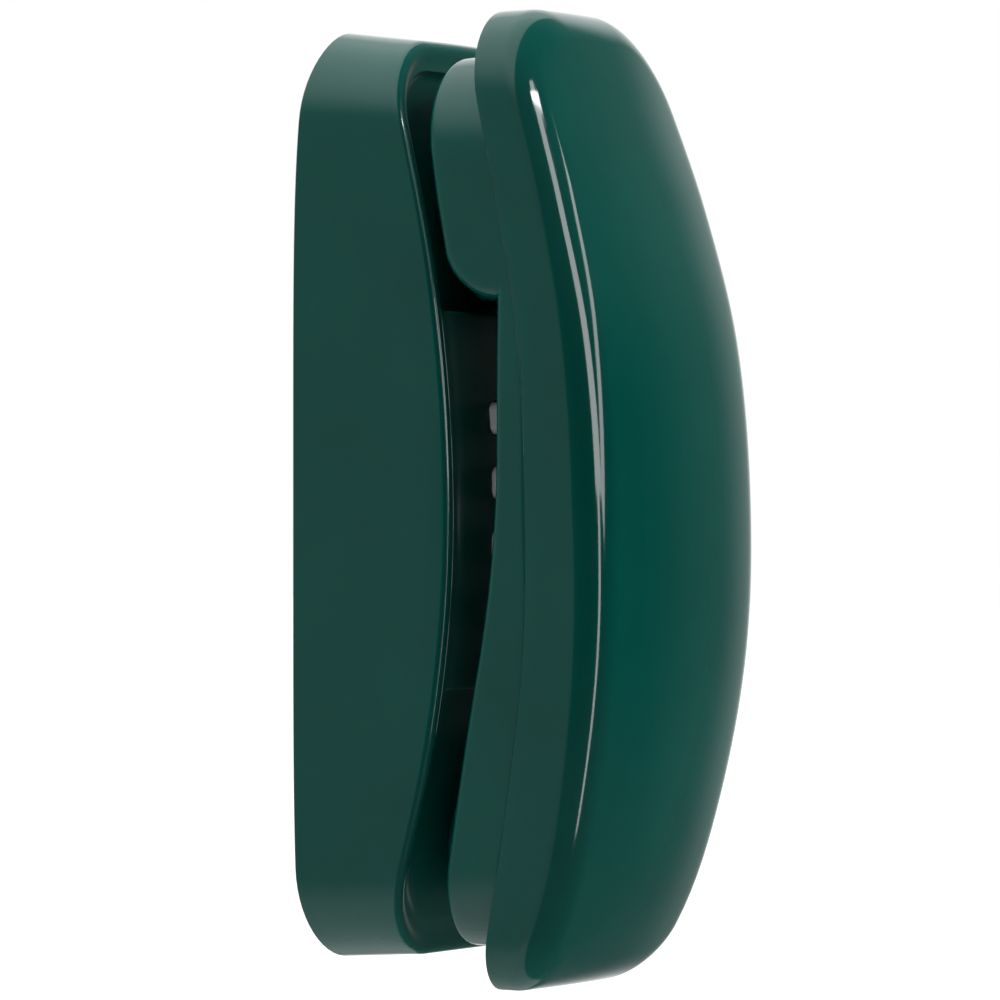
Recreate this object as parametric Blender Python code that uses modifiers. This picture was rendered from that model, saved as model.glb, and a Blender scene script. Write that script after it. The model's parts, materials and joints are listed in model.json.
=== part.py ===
"""Wall telephone: a shallow wall base with a keypad, covered by a one-piece handset.

The wall plane is Y = 0 and the front faces -Y, so a depth below is a distance from the wall.
X runs to the right, Z up, and the origin is the centre of the base's back face.
"""

import math

import bmesh
import bpy
from mathutils import Matrix, Vector

# Gap left between touching pieces, and how far a cutter runs past what it cuts
GAP = 0.0003
OVERRUN = 0.004
WELD_DISTANCE = 0.00002

# Base housing, seen from the front
BASE_WIDTH = 0.069
BASE_HEIGHT = 0.2106
BASE_CORNER_SHARE = 0.2754
BASE_NARROWING_SHARE = 0.19
NARROWING_POWER = 5
BASE_SIDE_STEPS = 14
BASE_CORNER_STEPS = 6

# Base housing, seen from the side: the rim is an arc that drops towards both ends
RIM_DEPTH = 0.0441
RIM_END_DROP = 0.0212
RIM_ARC_Z = -0.0028
RIM_EDGE = 0.0016
SIDE_DRAFT = 0.0006
END_DRAFT = 0.0066
WALL = 0.0024
WELL_WALL = 0.0030
BACK_INSET = 0.0005

# Raised keypad bed and the two cup wells
BED_BELOW_RIM = 0.0033
BED_DEPTH = RIM_DEPTH - BED_BELOW_RIM
BED_TOP_SHARE = 0.1947
BED_BOTTOM_SHARE = -0.2042
BED_TOP_Z = BASE_HEIGHT * BED_TOP_SHARE
BED_BOTTOM_Z = BASE_HEIGHT * BED_BOTTOM_SHARE
WELL_END_WALL = 0.0063
WELL_FILLET = 0.0035
STEP_RUN = 0.0001
WELL_CLEARANCE = 0.0005

# Keypad
KEY_COLUMNS = 3
KEY_ROWS = 4
KEY_PITCH_X = 0.0118
KEY_PITCH_Z = 0.0143
KEYPAD_Z = -0.0041
KEY_WIDTH = 0.0080
KEY_HEIGHT = 0.0071
KEY_CORNER = 0.0020
KEY_EDGE = 0.0005
KEY_STAND = 0.0018
KEY_FLANGE = 0.0009
KEY_FLANGE_THICKNESS = 0.0012
KEY_TRAVEL = 0.0010
KEY_NAMES = ("1", "2", "3", "4", "5", "6", "7", "8", "9", "star", "0", "hash")

# Rubber mat and circuit board behind the keys
MAT_MARGIN = 0.0045
MAT_THICKNESS = 0.0012
MAT_BUMP_RADIUS = 0.0022
MAT_BUMP_HEIGHT = 0.0005
BOARD_THICKNESS = 0.0016
BOARD_POST_RADIUS = 0.0026
BOARD_POST_EDGE = 0.0040
BOARD_SIDE_CLEARANCE = 0.0008

# Screws: one small pattern is used throughout
SCREW_HEAD_RADIUS = 0.0025
SCREW_HEAD_HEIGHT = 0.0012
SCREW_SHANK_RADIUS = 0.0010
SCREW_SHANK_LENGTH = 0.0075
SHORT_SHANK_LENGTH = 0.0050
DRIVE_SLOT_WIDTH = 0.0006
DRIVE_SLOT_DEPTH = 0.0005
SCREW_SIDES = 8

# Wall plate that closes the back of the base
PLATE_THICKNESS = 0.0022
PLATE_POST_RADIUS = 0.0035
PLATE_POST_FROM_SIDE = 0.0135
PLATE_POST_FROM_END = 0.0143
STUD_SPACING = 0.0857
STUD_HEAD_RADIUS = 0.0048
STUD_SLOT_RADIUS = 0.0025
STUD_SLOT_LENGTH = 0.0080
STUD_SLOT_ROUND_SHARE = 0.9

# Main circuit board on posts of the wall plate
MAIN_BOARD_DEPTH = 0.0090
MAIN_BOARD_FROM_SIDE = 0.0105
MAIN_BOARD_LOW_SHARE = 0.0760
MAIN_BOARD_FROM_END = 0.0213
MAIN_BOARD_HALF_WIDTH = BASE_WIDTH / 2 - MAIN_BOARD_FROM_SIDE
MAIN_BOARD_LOW_Z = BASE_HEIGHT * MAIN_BOARD_LOW_SHARE
MAIN_BOARD_HIGH_Z = BASE_HEIGHT / 2 - MAIN_BOARD_FROM_END
MAIN_POST_RADIUS = 0.0028
MAIN_POST_EDGE = 0.0045

# Ringer and its sound holes
RINGER_FROM_END = 0.0333
RINGER_Z = RINGER_FROM_END - BASE_HEIGHT / 2
RINGER_RADIUS = 0.0160
RINGER_HEIGHT = 0.0070
RINGER_LIP = 0.0020
RINGER_RING_WALL = 0.0015
RINGER_RING_HEIGHT = 0.0035
RINGER_HOLE_RADIUS = 0.0014
RINGER_HOLE_CIRCLE = 0.0080
RINGER_HOLES = 6

# Modular jacks
LINE_JACK_Z = -0.0180
LINE_JACK_HALF_WIDTH = 0.0065
LINE_MOUTH_HALF_WIDTH = 0.0049
CORD_JACK_HALF_WIDTH = 0.0055
CORD_MOUTH_HALF_WIDTH = 0.0039
JACK_HALF_HEIGHT = 0.0043
JACK_LENGTH = 0.0120
JACK_MOUTH_HALF_HEIGHT = 0.0029
JACK_MOUTH_DEPTH = 0.0102
JACK_LATCH_HALF_WIDTH = 0.0021
JACK_LATCH_RISE = 0.0008
CORD_JACK_DEPTH = 0.0130

# Hook switch: plunger, spring and switch block under the ear well
PLUNGER_ABOVE_BED = 0.0370
PLUNGER_Z = BED_TOP_Z + PLUNGER_ABOVE_BED
PLUNGER_RADIUS = 0.0034
PLUNGER_DOME = 0.0010
PLUNGER_TRAVEL = 0.0035
PLUNGER_FLANGE_RADIUS = 0.0050
PLUNGER_FLANGE_THICKNESS = 0.0012
PLUNGER_STEM_RADIUS = 0.0017
SWITCH_HALF_WIDTH = 0.0060
SWITCH_HEIGHT = 0.0037
SPRING_WIRE = 0.0006
SPRING_TURNS = 3
SPRING_POINTS_PER_TURN = 12

# Hook tab that catches the handset's ear cup
TAB_WIDTH = 0.0100
TAB_THICKNESS = 0.0010
TAB_RISE = 0.0020
TAB_TAIL = 0.0070
TAB_BEHIND_BED = 0.0002

# Ringer switch in the right side wall
SLIDER_FROM_END = 0.0433
SLIDER_Z = SLIDER_FROM_END - BASE_HEIGHT / 2
SLIDER_DEPTH = 0.0130
SLIDER_LENGTH = 0.0036
SLIDER_WIDTH = 0.0030
SLIDER_STAND = 0.0012
SLIDER_TRAVEL = 0.0040
RINGER_SWITCH_WIDTH = 0.0060
RINGER_SWITCH_LENGTH = 0.0130
RINGER_SWITCH_HEIGHT = 0.0070

# Handset, seen from the front
HANDSET_WIDTH = BASE_WIDTH
HANDSET_OVERHANG = 0.0030
HANDSET_HEIGHT = BASE_HEIGHT + 2 * HANDSET_OVERHANG
HANDSET_Z = -0.0012
HANDSET_CORNER_SHARE = 0.2464
HANDSET_NARROWING_SHARE = 0.045
HANDSET_CORNER_STEPS = 6
HANDSET_SIDE_STEPS = 16
HANDSET_WALL = 0.0022

# Handset, seen from the side: depth and height of each arc's crest, and its drop at the ends
FRONT_CREST = 0.0814
FRONT_ARC_Z = -0.0102
FRONT_END_DROP = 0.0252
FRONT_CROWN = 0.0016
FRONT_EDGE = 0.0065
FRONT_EDGE_STEPS = 5
FLANGE_THICKNESS = 0.0018
SEAM_CREST = 0.0623
SEAM_ARC_Z = -0.0087
SEAM_END_DROP = 0.0177
TONGUE_HEIGHT = 0.0016
TONGUE_THICKNESS = 0.0009

# Back shell of the handset, seen from the front: shorter than the cover, with rounder ends
BODY_FROM_LOW_END = 0.0093
BODY_FROM_HIGH_END = 0.0094
BODY_LOW_CORNER_SHARE = 0.3768
BODY_HIGH_CORNER_SHARE = 0.4203
BODY_LOW_Z = HANDSET_Z - HANDSET_HEIGHT / 2 + BODY_FROM_LOW_END
BODY_HIGH_Z = HANDSET_Z + HANDSET_HEIGHT / 2 - BODY_FROM_HIGH_END
TONGUE_INSET = 0.0033
OPENING_INSET = 0.0030

# Back shell, seen from the side: flat grip, step to the ear block, slopes behind both cups
GRIP_DEPTH = 0.0553
GRIP_LOW_SHARE = -0.0641
GRIP_BEND = 0.0470
STEP_ABOVE_BED = 0.0018
STEP_CORNER = 0.0125
EAR_FACE_DEPTH = 0.0436
EAR_FACE_SLOPE_SHARE = 0.188
MOUTH_FACE_SLOPE_SHARE = 0.213
BACK_EDGE = 0.0022
GRIP_LOW_Z = BASE_HEIGHT * GRIP_LOW_SHARE
STEP_Z = BED_TOP_Z + STEP_ABOVE_BED

# Cups on the back of the handset
EAR_RADIUS_SHARE = 0.3261
EAR_RADIUS = HANDSET_WIDTH * EAR_RADIUS_SHARE
EAR_TILT = math.atan(EAR_FACE_SLOPE_SHARE)
EAR_PROJECTION = 0.0100
MOUTH_Z_SHARE = -0.3609
MOUTH_Z = BASE_HEIGHT * MOUTH_Z_SHARE
MOUTH_RADIUS_SHARE = 0.2609
MOUTH_RADIUS = HANDSET_WIDTH * MOUTH_RADIUS_SHARE
MOUTH_TILT = math.atan(MOUTH_FACE_SLOPE_SHARE)
MOUTH_PROJECTION = 0.0120
CUP_EDGE = 0.0030
CUP_TIP_WALL = 0.0020
CUP_ROOT = 0.0110
CUP_STEPS = 32
LOCATING_WALL = 0.0014
LOCATING_HEIGHT = 0.0050
EAR_HOLE_RADIUS = 0.0011
EAR_HOLE_CIRCLES = (0.0055, 0.0110)
EAR_HOLES_PER_CIRCLE = 6
MOUTH_HOLE_RADIUS = 0.0011
MOUTH_HOLE_CIRCLE = 0.0050
MOUTH_HOLES = 6
HOLE_SIDES = 6

# Slot in the ear cup for the hook tab
LIP_THICKNESS = 0.0014
SLOT_SIDE_CLEARANCE = 0.0010
SLOT_RISE = 0.0040
SLOT_FRONT = 0.0042

# Pieces inside the handset
RECEIVER_FROM_CUP = 0.0045
RECEIVER_RADIUS = EAR_RADIUS - RECEIVER_FROM_CUP
RECEIVER_HEIGHT = 0.0090
RECEIVER_RIM = 0.0020
SEAL_THICKNESS = 0.0015
SEAL_WIDTH = 0.0045
MICROPHONE_RADIUS = 0.0048
MICROPHONE_HEIGHT = 0.0065
BOOT_WALL = 0.0016
WEIGHT_FROM_SIDE = 0.0155
WEIGHT_HALF_WIDTH = HANDSET_WIDTH / 2 - WEIGHT_FROM_SIDE
WEIGHT_LOW_SHARE = -0.0855
WEIGHT_HIGH_SHARE = 0.1140
WEIGHT_LOW_Z = BASE_HEIGHT * WEIGHT_LOW_SHARE
WEIGHT_HIGH_Z = BASE_HEIGHT * WEIGHT_HIGH_SHARE
WEIGHT_THICKNESS = 0.0030
WEIGHT_CORNER = 0.0030
WEIGHT_PEG_RADIUS = 0.0020
WEIGHT_PEG_FROM_SIDE = 0.0225
WEIGHT_PEG_X = HANDSET_WIDTH / 2 - WEIGHT_PEG_FROM_SIDE
HANDSET_POST_RADIUS = 0.0034
UPPER_POST_SHARE = 0.1519
LOWER_POST_SHARE = -0.1330
UPPER_POST_Z = BASE_HEIGHT * UPPER_POST_SHARE
LOWER_POST_Z = BASE_HEIGHT * LOWER_POST_SHARE
HANDSET_JACK_DEPTH = 0.0452

ROUND_SIDES = 28

part = bpy.data.collections.new("wall_telephone")
cutters = bpy.data.collections.new("cutters")


def clear_scene():
    for old in list(bpy.data.objects):
        bpy.data.objects.remove(old, do_unlink=True)
    bpy.context.scene.collection.children.link(part)
    bpy.context.scene.collection.children.link(cutters)


def material(name, colour, roughness, metallic=0.0):
    found = bpy.data.materials.get(name)
    if found:
        return found
    made = bpy.data.materials.new(name)
    made.use_nodes = True
    shader = made.node_tree.nodes["Principled BSDF"]
    shader.inputs["Base Color"].default_value = (*colour, 1.0)
    shader.inputs["Roughness"].default_value = roughness
    shader.inputs["Metallic"].default_value = metallic
    made.diffuse_color = (*colour, 1.0)
    return made


def green_plastic():
    return material("green_plastic", (0.012, 0.062, 0.052), 0.12)


def dark_green_plastic():
    return material("dark_green_plastic", (0.010, 0.045, 0.038), 0.3)


def white_plastic():
    return material("white_plastic", (0.72, 0.72, 0.68), 0.35)


def black_plastic():
    return material("black_plastic", (0.012, 0.012, 0.012), 0.45)


def board_laminate():
    return material("board_laminate", (0.30, 0.20, 0.07), 0.5)


def rubber():
    return material("rubber", (0.10, 0.10, 0.10), 0.8)


def foam():
    return material("foam", (0.04, 0.04, 0.04), 0.95)


def steel():
    return material("steel", (0.55, 0.55, 0.55), 0.3, 1.0)


def brass():
    return material("brass", (0.60, 0.45, 0.18), 0.35, 1.0)


# Small geometry helpers

def place(x, depth, z):
    """A point given by its distance from the wall."""
    return Vector((x, -depth, z))


def arc(z, crest, crest_z, half_length, end_drop):
    """Depth at height z of an arc that drops by end_drop at half_length from its crest."""
    radius = (half_length * half_length + end_drop * end_drop) / (2 * end_drop)
    offset = z - crest_z
    return crest - (radius - math.sqrt(radius * radius - offset * offset))


def spread(low, high, steps):
    return [low + (high - low) * step / steps for step in range(steps + 1)]


def outline(half_width, low, high, corner_low, corner_high, side_zs, corner_steps, inset=0.0):
    """Ring of (x, z) round a rounded oblong: up the right side, then down the left side."""
    right = []
    for radius, centre_z, start in ((corner_low, low + corner_low, -90),
                                    (corner_high, high - corner_high, 0)):
        centre_x = half_width - radius
        shrunk = radius - inset
        for angle in spread(start, start + 90, corner_steps):
            turn = math.radians(angle)
            right.append((centre_x + shrunk * math.cos(turn), centre_z + shrunk * math.sin(turn)))
        if start < 0:
            inside = [z for z in side_zs if low + corner_low < z < high - corner_high]
            right.extend((half_width - inset, z) for z in inside)
    return right + [(-x, z) for x, z in reversed(right)]


def narrowed(ring, half_height, share, centre_z=0.0):
    """The same ring, drawn in towards its two ends."""
    result = []
    for x, z in ring:
        reach = min(abs(z - centre_z) / half_height, 1.0)
        result.append((x * (1 - share * reach ** NARROWING_POWER), z))
    return result


def add_ring(mesh, points):
    return [mesh.verts.new(point) for point in points]


def bridge(mesh, ring_a, ring_b):
    count = len(ring_a)
    for index in range(count):
        after = (index + 1) % count
        mesh.faces.new((ring_a[index], ring_a[after], ring_b[after], ring_b[index]))


def close_across(mesh, ring):
    """Close a ring with rungs from its right side to its left side."""
    count = len(ring)
    for index in range(count // 2 - 1):
        mirror = count - 1 - index
        mesh.faces.new((ring[index], ring[index + 1], ring[mirror - 1], ring[mirror]))


def crown_across(mesh, ring, shares, surface):
    """Close a ring with rungs that are split at shares of their half width, to follow a crown."""
    count = len(ring)
    rows = []
    for index in range(count // 2):
        right = ring[index]
        left = ring[count - 1 - index]
        middle = [mesh.verts.new(surface(right.co.x * share, right.co.z)) for share in shares]
        rows.append([right] + middle + [left])
    for low_row, high_row in zip(rows, rows[1:]):
        for column in range(len(low_row) - 1):
            mesh.faces.new((low_row[column], high_row[column],
                            high_row[column + 1], low_row[column + 1]))
    for row in (rows[0], rows[-1]):
        mesh.faces.new(row)


def loft(rings):
    """A closed solid through rings of points, from the first ring's face to the last one's."""
    mesh = bmesh.new()
    loops = [add_ring(mesh, ring) for ring in rings]
    for ring_a, ring_b in zip(loops, loops[1:]):
        bridge(mesh, ring_a, ring_b)
    for end in (loops[0], loops[-1]):
        depths = [vertex.co.y for vertex in end]
        if max(depths) == min(depths):
            mesh.faces.new(end)
        else:
            close_across(mesh, end)
    return mesh


def finish_mesh(name, mesh):
    bmesh.ops.recalc_face_normals(mesh, faces=mesh.faces)
    data = bpy.data.meshes.new(name)
    mesh.to_mesh(data)
    mesh.free()
    data.shade_smooth()
    data.set_sharp_from_angle(angle=math.radians(32))
    return data


def solid(name, mesh, finish):
    made = bpy.data.objects.new(name, finish_mesh(name, mesh))
    made.data.materials.append(finish)
    part.objects.link(made)
    return made


def cutter(name, mesh):
    made = bpy.data.objects.new(name, finish_mesh(name, mesh))
    made.hide_render = True
    made.display_type = "WIRE"
    cutters.objects.link(made)
    return made


def combine(target, tool, operation):
    step = target.modifiers.new(tool.name, "BOOLEAN")
    step.operation = operation
    step.object = tool
    return step


def cut(target, tool):
    combine(target, tool, "DIFFERENCE")


def fuse(target, tool):
    combine(target, tool, "UNION")


def weld(made):
    """Close the hairline splits that Booleans can leave between neighbouring cuts."""
    step = made.modifiers.new("weld", "WELD")
    step.merge_threshold = WELD_DISTANCE


def move_origin(made, point):
    """Put an object's origin at a point of its joint's axis, leaving its shape in place."""
    made.data.transform(Matrix.Translation(-point))
    made.location = point


def add_box(mesh, low, high):
    size = high - low
    shape = Matrix.Translation((low + high) / 2) @ Matrix.Diagonal((*map(abs, size), 1.0))
    bmesh.ops.create_cube(mesh, size=1.0, matrix=shape)


def add_rod(mesh, start, end, radius, sides=ROUND_SIDES, end_radius=None):
    """A closed cylinder or cone from start to end."""
    along = end - start
    turn = along.to_track_quat("Z", "Y").to_matrix().to_4x4()
    spot = Matrix.Translation((start + end) / 2) @ turn
    last = radius if end_radius is None else end_radius
    bmesh.ops.create_cone(mesh, cap_ends=True, segments=sides, radius1=radius,
                          radius2=last, depth=along.length, matrix=spot)


def turned(name, profile, centre, tilt, finish=None, sides=ROUND_SIDES):
    """A profile of (radius, height) turned about an axis that leans by tilt and points outwards."""
    mesh = bmesh.new()
    ring = profile[0] == profile[-1]
    points = [mesh.verts.new((radius, 0.0, height)) for radius, height in profile[ring:]]
    for first, second in zip(points, points[1:]):
        mesh.edges.new((first, second))
    if ring:
        mesh.edges.new((points[-1], points[0]))
    data = bpy.data.meshes.new(name)
    mesh.to_mesh(data)
    mesh.free()
    made = bpy.data.objects.new(name, data)
    made.location = centre
    made.rotation_euler = (math.radians(90) - tilt, 0.0, 0.0)
    screw = made.modifiers.new("turn", "SCREW")
    screw.axis = "Z"
    screw.steps = sides
    screw.render_steps = sides
    screw.use_merge_vertices = True
    screw.merge_threshold = 0.00001
    screw.use_smooth_shade = True
    if finish is None:
        made.hide_render = True
        made.display_type = "WIRE"
        cutters.objects.link(made)
    else:
        made.data.materials.append(finish)
        part.objects.link(made)
    return made


# Forms of the base

def base_lean(x, depth, z):
    """A point of the base moved in by the moulding draft, which grows with depth."""
    reach = depth / RIM_DEPTH
    half_height = BASE_HEIGHT / 2
    end_share = END_DRAFT / half_height * abs(z / half_height) ** 3
    return place(x * (1 - SIDE_DRAFT / (BASE_WIDTH / 2) * reach), depth, z * (1 - end_share * reach))


def rim_depth(z):
    return arc(z, RIM_DEPTH, RIM_ARC_Z, BASE_HEIGHT / 2, RIM_END_DROP)


def base_side_zs(extra):
    """Heights of the points along a side: even steps, and a pair at each step of the surface."""
    even = spread(-BASE_HEIGHT / 2, BASE_HEIGHT / 2, BASE_SIDE_STEPS)
    clear = BASE_HEIGHT / BASE_SIDE_STEPS / 4
    kept = [z for z in even if all(abs(z - other) > clear for other in extra)]
    return sorted(kept + list(extra))


def base_ring(inset, depth_at, extra=(), trim=0.0):
    """Ring of the base's outline, moved in by inset, at the depth that depth_at(z) gives."""
    end = BASE_HEIGHT / 2 - trim
    corner = BASE_WIDTH * BASE_CORNER_SHARE - trim
    flat = outline(BASE_WIDTH / 2, -end, end, corner, corner,
                   base_side_zs(extra), BASE_CORNER_STEPS, inset)
    flat = narrowed(flat, BASE_HEIGHT / 2, BASE_NARROWING_SHARE)
    return [base_lean(x, depth_at(z), z) for x, z in flat]


def ear_tip_centre():
    """Centre of the ear cup's face, above the ledge that it hangs on."""
    reach = EAR_RADIUS * math.cos(EAR_TILT)
    z = BED_TOP_Z + GAP + reach
    root_z = z + EAR_PROJECTION * math.sin(EAR_TILT)
    depth = back_depth(root_z) - EAR_PROJECTION * math.cos(EAR_TILT)
    return depth, z


def mouth_tip_centre():
    depth = back_depth(MOUTH_Z) - MOUTH_PROJECTION * math.cos(MOUTH_TILT)
    return depth, MOUTH_Z + MOUTH_PROJECTION * math.sin(MOUTH_TILT)


def ear_tip_depth(z):
    depth, centre_z = ear_tip_centre()
    return depth - (z - centre_z) * math.tan(EAR_TILT)


def mouth_tip_depth(z):
    depth, centre_z = mouth_tip_centre()
    return depth + (z - centre_z) * math.tan(MOUTH_TILT)


def ear_floor(z):
    return ear_tip_depth(z) - WELL_CLEARANCE


def mouth_floor(z):
    return mouth_tip_depth(z) - WELL_CLEARANCE


def recess_floor(z):
    """Depth of the front: ear well above, raised keypad bed, mouth well below."""
    if z > BED_TOP_Z:
        return ear_floor(z)
    if z < BED_BOTTOM_Z:
        return mouth_floor(z)
    return BED_DEPTH


def recess_cutter():
    """Everything inside the rim: straight walls down to a rounded corner and the stepped floor."""
    steps = (BED_BOTTOM_Z - STEP_RUN, BED_BOTTOM_Z, BED_TOP_Z, BED_TOP_Z + STEP_RUN)
    trim = WELL_END_WALL - WELL_WALL
    rings = [base_ring(WELL_WALL, lambda z: RIM_DEPTH + OVERRUN, steps, trim)]
    for angle in spread(0, 90, 3):
        turn = math.radians(angle)
        inset = WELL_WALL + WELL_FILLET * (1 - math.cos(turn))
        rise = WELL_FILLET * (1 - math.sin(turn))
        rings.append(base_ring(inset, lambda z, rise=rise: min(
            recess_floor(z) + rise, RIM_DEPTH + OVERRUN / 2), steps, trim))
    return cutter("recess_cutter", loft(rings))


def room_roof(z):
    """Inside of the front wall, one wall thickness behind the recess floor."""
    if z > BED_TOP_Z - WALL:
        return ear_floor(z) - WALL
    if z < BED_BOTTOM_Z + WALL:
        return mouth_floor(z) - WALL
    return keypad_inner()


def room_cutter():
    """The hollow behind the front wall, open at the back."""
    low = BED_BOTTOM_Z + WALL
    high = BED_TOP_Z - WALL
    steps = (low - STEP_RUN, low, high, high + STEP_RUN)
    rings = [base_ring(WALL, lambda z: -OVERRUN, steps), base_ring(WALL, room_roof, steps)]
    return cutter("room_cutter", loft(rings))


def key_centres():
    for index, key in enumerate(KEY_NAMES):
        row, column = divmod(index, KEY_COLUMNS)
        x = (column - (KEY_COLUMNS - 1) / 2) * KEY_PITCH_X
        z = KEYPAD_Z + ((KEY_ROWS - 1) / 2 - row) * KEY_PITCH_Z
        yield key, x, z


def key_ring(x, z, depth, grow):
    """Outline of a key, made larger by grow, about its centre."""
    ring = outline(KEY_WIDTH / 2 + grow, -KEY_HEIGHT / 2 - grow, KEY_HEIGHT / 2 + grow,
                   KEY_CORNER, KEY_CORNER, (), 3)
    return [place(x + side, depth, z + rise) for side, rise in ring]


def keypad_inner():
    return BED_DEPTH - WALL


def mat_front():
    """Front of the mat's sheet: a key pushed in just clears the bumps on it."""
    rear = keypad_inner() - GAP - KEY_FLANGE_THICKNESS
    return rear - KEY_TRAVEL - GAP - MAT_BUMP_HEIGHT


def board_front():
    return mat_front() - MAT_THICKNESS - GAP


def board_half_width():
    return BASE_WIDTH / 2 - WALL - SIDE_DRAFT - BOARD_SIDE_CLEARANCE


def board_ends():
    return BED_BOTTOM_Z + WALL + BOARD_SIDE_CLEARANCE, BED_TOP_Z - WALL - BOARD_SIDE_CLEARANCE


def board_posts():
    low, high = board_ends()
    for side in (-1, 1):
        for z in (low + BOARD_POST_EDGE, high - BOARD_POST_EDGE):
            yield side * (board_half_width() - BOARD_POST_EDGE), z


def plate_posts():
    for side in (-1, 1):
        for end in (-1, 1):
            yield (side * (BASE_WIDTH / 2 - PLATE_POST_FROM_SIDE),
                   end * (BASE_HEIGHT / 2 - PLATE_POST_FROM_END))


def tab_depth():
    """Wall side of the hook tab, just behind the keypad bed's front wall."""
    return keypad_inner() - TAB_BEHIND_BED - TAB_THICKNESS


def slider_wall_x():
    return BASE_WIDTH / 2


def base_housing():
    rings = [base_ring(0.0, lambda z: BACK_INSET)]
    for angle in (0, 30, 60, 90, 135, 180):
        turn = math.radians(angle)
        inset = RIM_EDGE * (1 - math.cos(turn))
        drop = RIM_EDGE * (1 - math.sin(turn))
        rings.append(base_ring(inset, lambda z, drop=drop: rim_depth(z) - drop))
    housing = solid("base_housing", loft(rings), green_plastic())

    cut(housing, recess_cutter())
    cut(housing, room_cutter())

    posts = bmesh.new()
    for x, z in board_posts():
        add_rod(posts, place(x, keypad_inner() + WALL / 2, z), place(x, board_front() + GAP, z),
                BOARD_POST_RADIUS, SCREW_SIDES)
    for x, z in plate_posts():
        floor = ear_floor(z) if z > 0 else mouth_floor(z)
        add_rod(posts, place(x, floor - WALL / 2, z), place(x, PLATE_THICKNESS + GAP, z),
                PLATE_POST_RADIUS, SCREW_SIDES)
    fuse(housing, cutter("housing_posts", posts))

    holes = bmesh.new()
    bore = SCREW_SHANK_RADIUS + GAP
    for x, z in board_posts():
        add_rod(holes, place(x, board_front() - OVERRUN, z),
                place(x, board_front() + SHORT_SHANK_LENGTH - BOARD_THICKNESS, z), bore, SCREW_SIDES)
    for x, z in plate_posts():
        add_rod(holes, place(x, -OVERRUN, z), place(x, SCREW_SHANK_LENGTH + PLATE_THICKNESS, z),
                bore, SCREW_SIDES)
    add_rod(holes, place(0.0, PLUNGER_TRAVEL, PLUNGER_Z), place(0.0, RIM_DEPTH, PLUNGER_Z),
            PLUNGER_RADIUS + GAP)
    side = CORD_JACK_HALF_WIDTH + GAP
    end_z = -BASE_HEIGHT / 2
    add_box(holes, place(-side, CORD_JACK_DEPTH - JACK_HALF_HEIGHT - GAP, end_z - OVERRUN),
            place(side, CORD_JACK_DEPTH + JACK_HALF_HEIGHT + GAP, end_z + JACK_LENGTH))
    half_slot = SLIDER_LENGTH / 2 + GAP
    add_box(holes, place(slider_wall_x() - WALL - OVERRUN, SLIDER_DEPTH - SLIDER_WIDTH / 2 - GAP,
                         SLIDER_Z - half_slot),
            place(slider_wall_x() + OVERRUN, SLIDER_DEPTH + SLIDER_WIDTH / 2 + GAP,
                  SLIDER_Z + SLIDER_TRAVEL + half_slot))
    add_box(holes, place(-TAB_WIDTH / 2 - GAP, tab_depth() - GAP, BED_TOP_Z - TAB_TAIL),
            place(TAB_WIDTH / 2 + GAP, tab_depth() + TAB_THICKNESS + GAP / 2, BED_TOP_Z + OVERRUN))
    cut(housing, cutter("housing_holes", holes))

    openings = [loft([key_ring(x, z, BED_DEPTH + OVERRUN, GAP),
                      key_ring(x, z, keypad_inner() - GAP, GAP)]) for key, x, z in key_centres()]
    joined = bmesh.new()
    for opening in openings:
        spare = bpy.data.meshes.new("key_opening")
        opening.to_mesh(spare)
        opening.free()
        joined.from_mesh(spare)
        bpy.data.meshes.remove(spare)
    cut(housing, cutter("key_openings", joined))
    weld(housing)
    return housing


def hook_tab():
    mesh = bmesh.new()
    front = tab_depth() + TAB_THICKNESS
    add_box(mesh, place(-TAB_WIDTH / 2, tab_depth(), BED_TOP_Z - TAB_TAIL + GAP),
            place(TAB_WIDTH / 2, front - GAP / 2, BED_TOP_Z + TAB_RISE))
    return solid("hook_tab", mesh, steel())


def key_solid(key, x, z):
    """A key: rounded cap, straight skirt and a flange that stops it behind the front wall."""
    face = BED_DEPTH + KEY_STAND
    flange_front = keypad_inner() - GAP
    rings = [key_ring(x, z, face, -KEY_EDGE),
             key_ring(x, z, face - KEY_EDGE, 0.0),
             key_ring(x, z, flange_front, 0.0),
             key_ring(x, z, flange_front, KEY_FLANGE),
             key_ring(x, z, flange_front - KEY_FLANGE_THICKNESS, KEY_FLANGE)]
    made = solid("key_" + key, loft(rings), white_plastic())
    move_origin(made, place(x, face, z))
    return made


def key_mat():
    half_width = KEY_PITCH_X + KEY_WIDTH / 2 + MAT_MARGIN
    half_height = KEY_PITCH_Z * (KEY_ROWS - 1) / 2 + KEY_HEIGHT / 2 + MAT_MARGIN
    mesh = bmesh.new()
    add_box(mesh, place(-half_width, mat_front() - MAT_THICKNESS, KEYPAD_Z - half_height),
            place(half_width, mat_front(), KEYPAD_Z + half_height))
    mat = solid("key_mat", mesh, rubber())
    bumps = bmesh.new()
    for key, x, z in key_centres():
        add_rod(bumps, place(x, mat_front() - MAT_THICKNESS / 2, z),
                place(x, mat_front() + MAT_BUMP_HEIGHT, z), MAT_BUMP_RADIUS, HOLE_SIDES,
                MAT_BUMP_RADIUS - MAT_BUMP_HEIGHT)
    fuse(mat, cutter("mat_bumps", bumps))
    return mat


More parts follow.
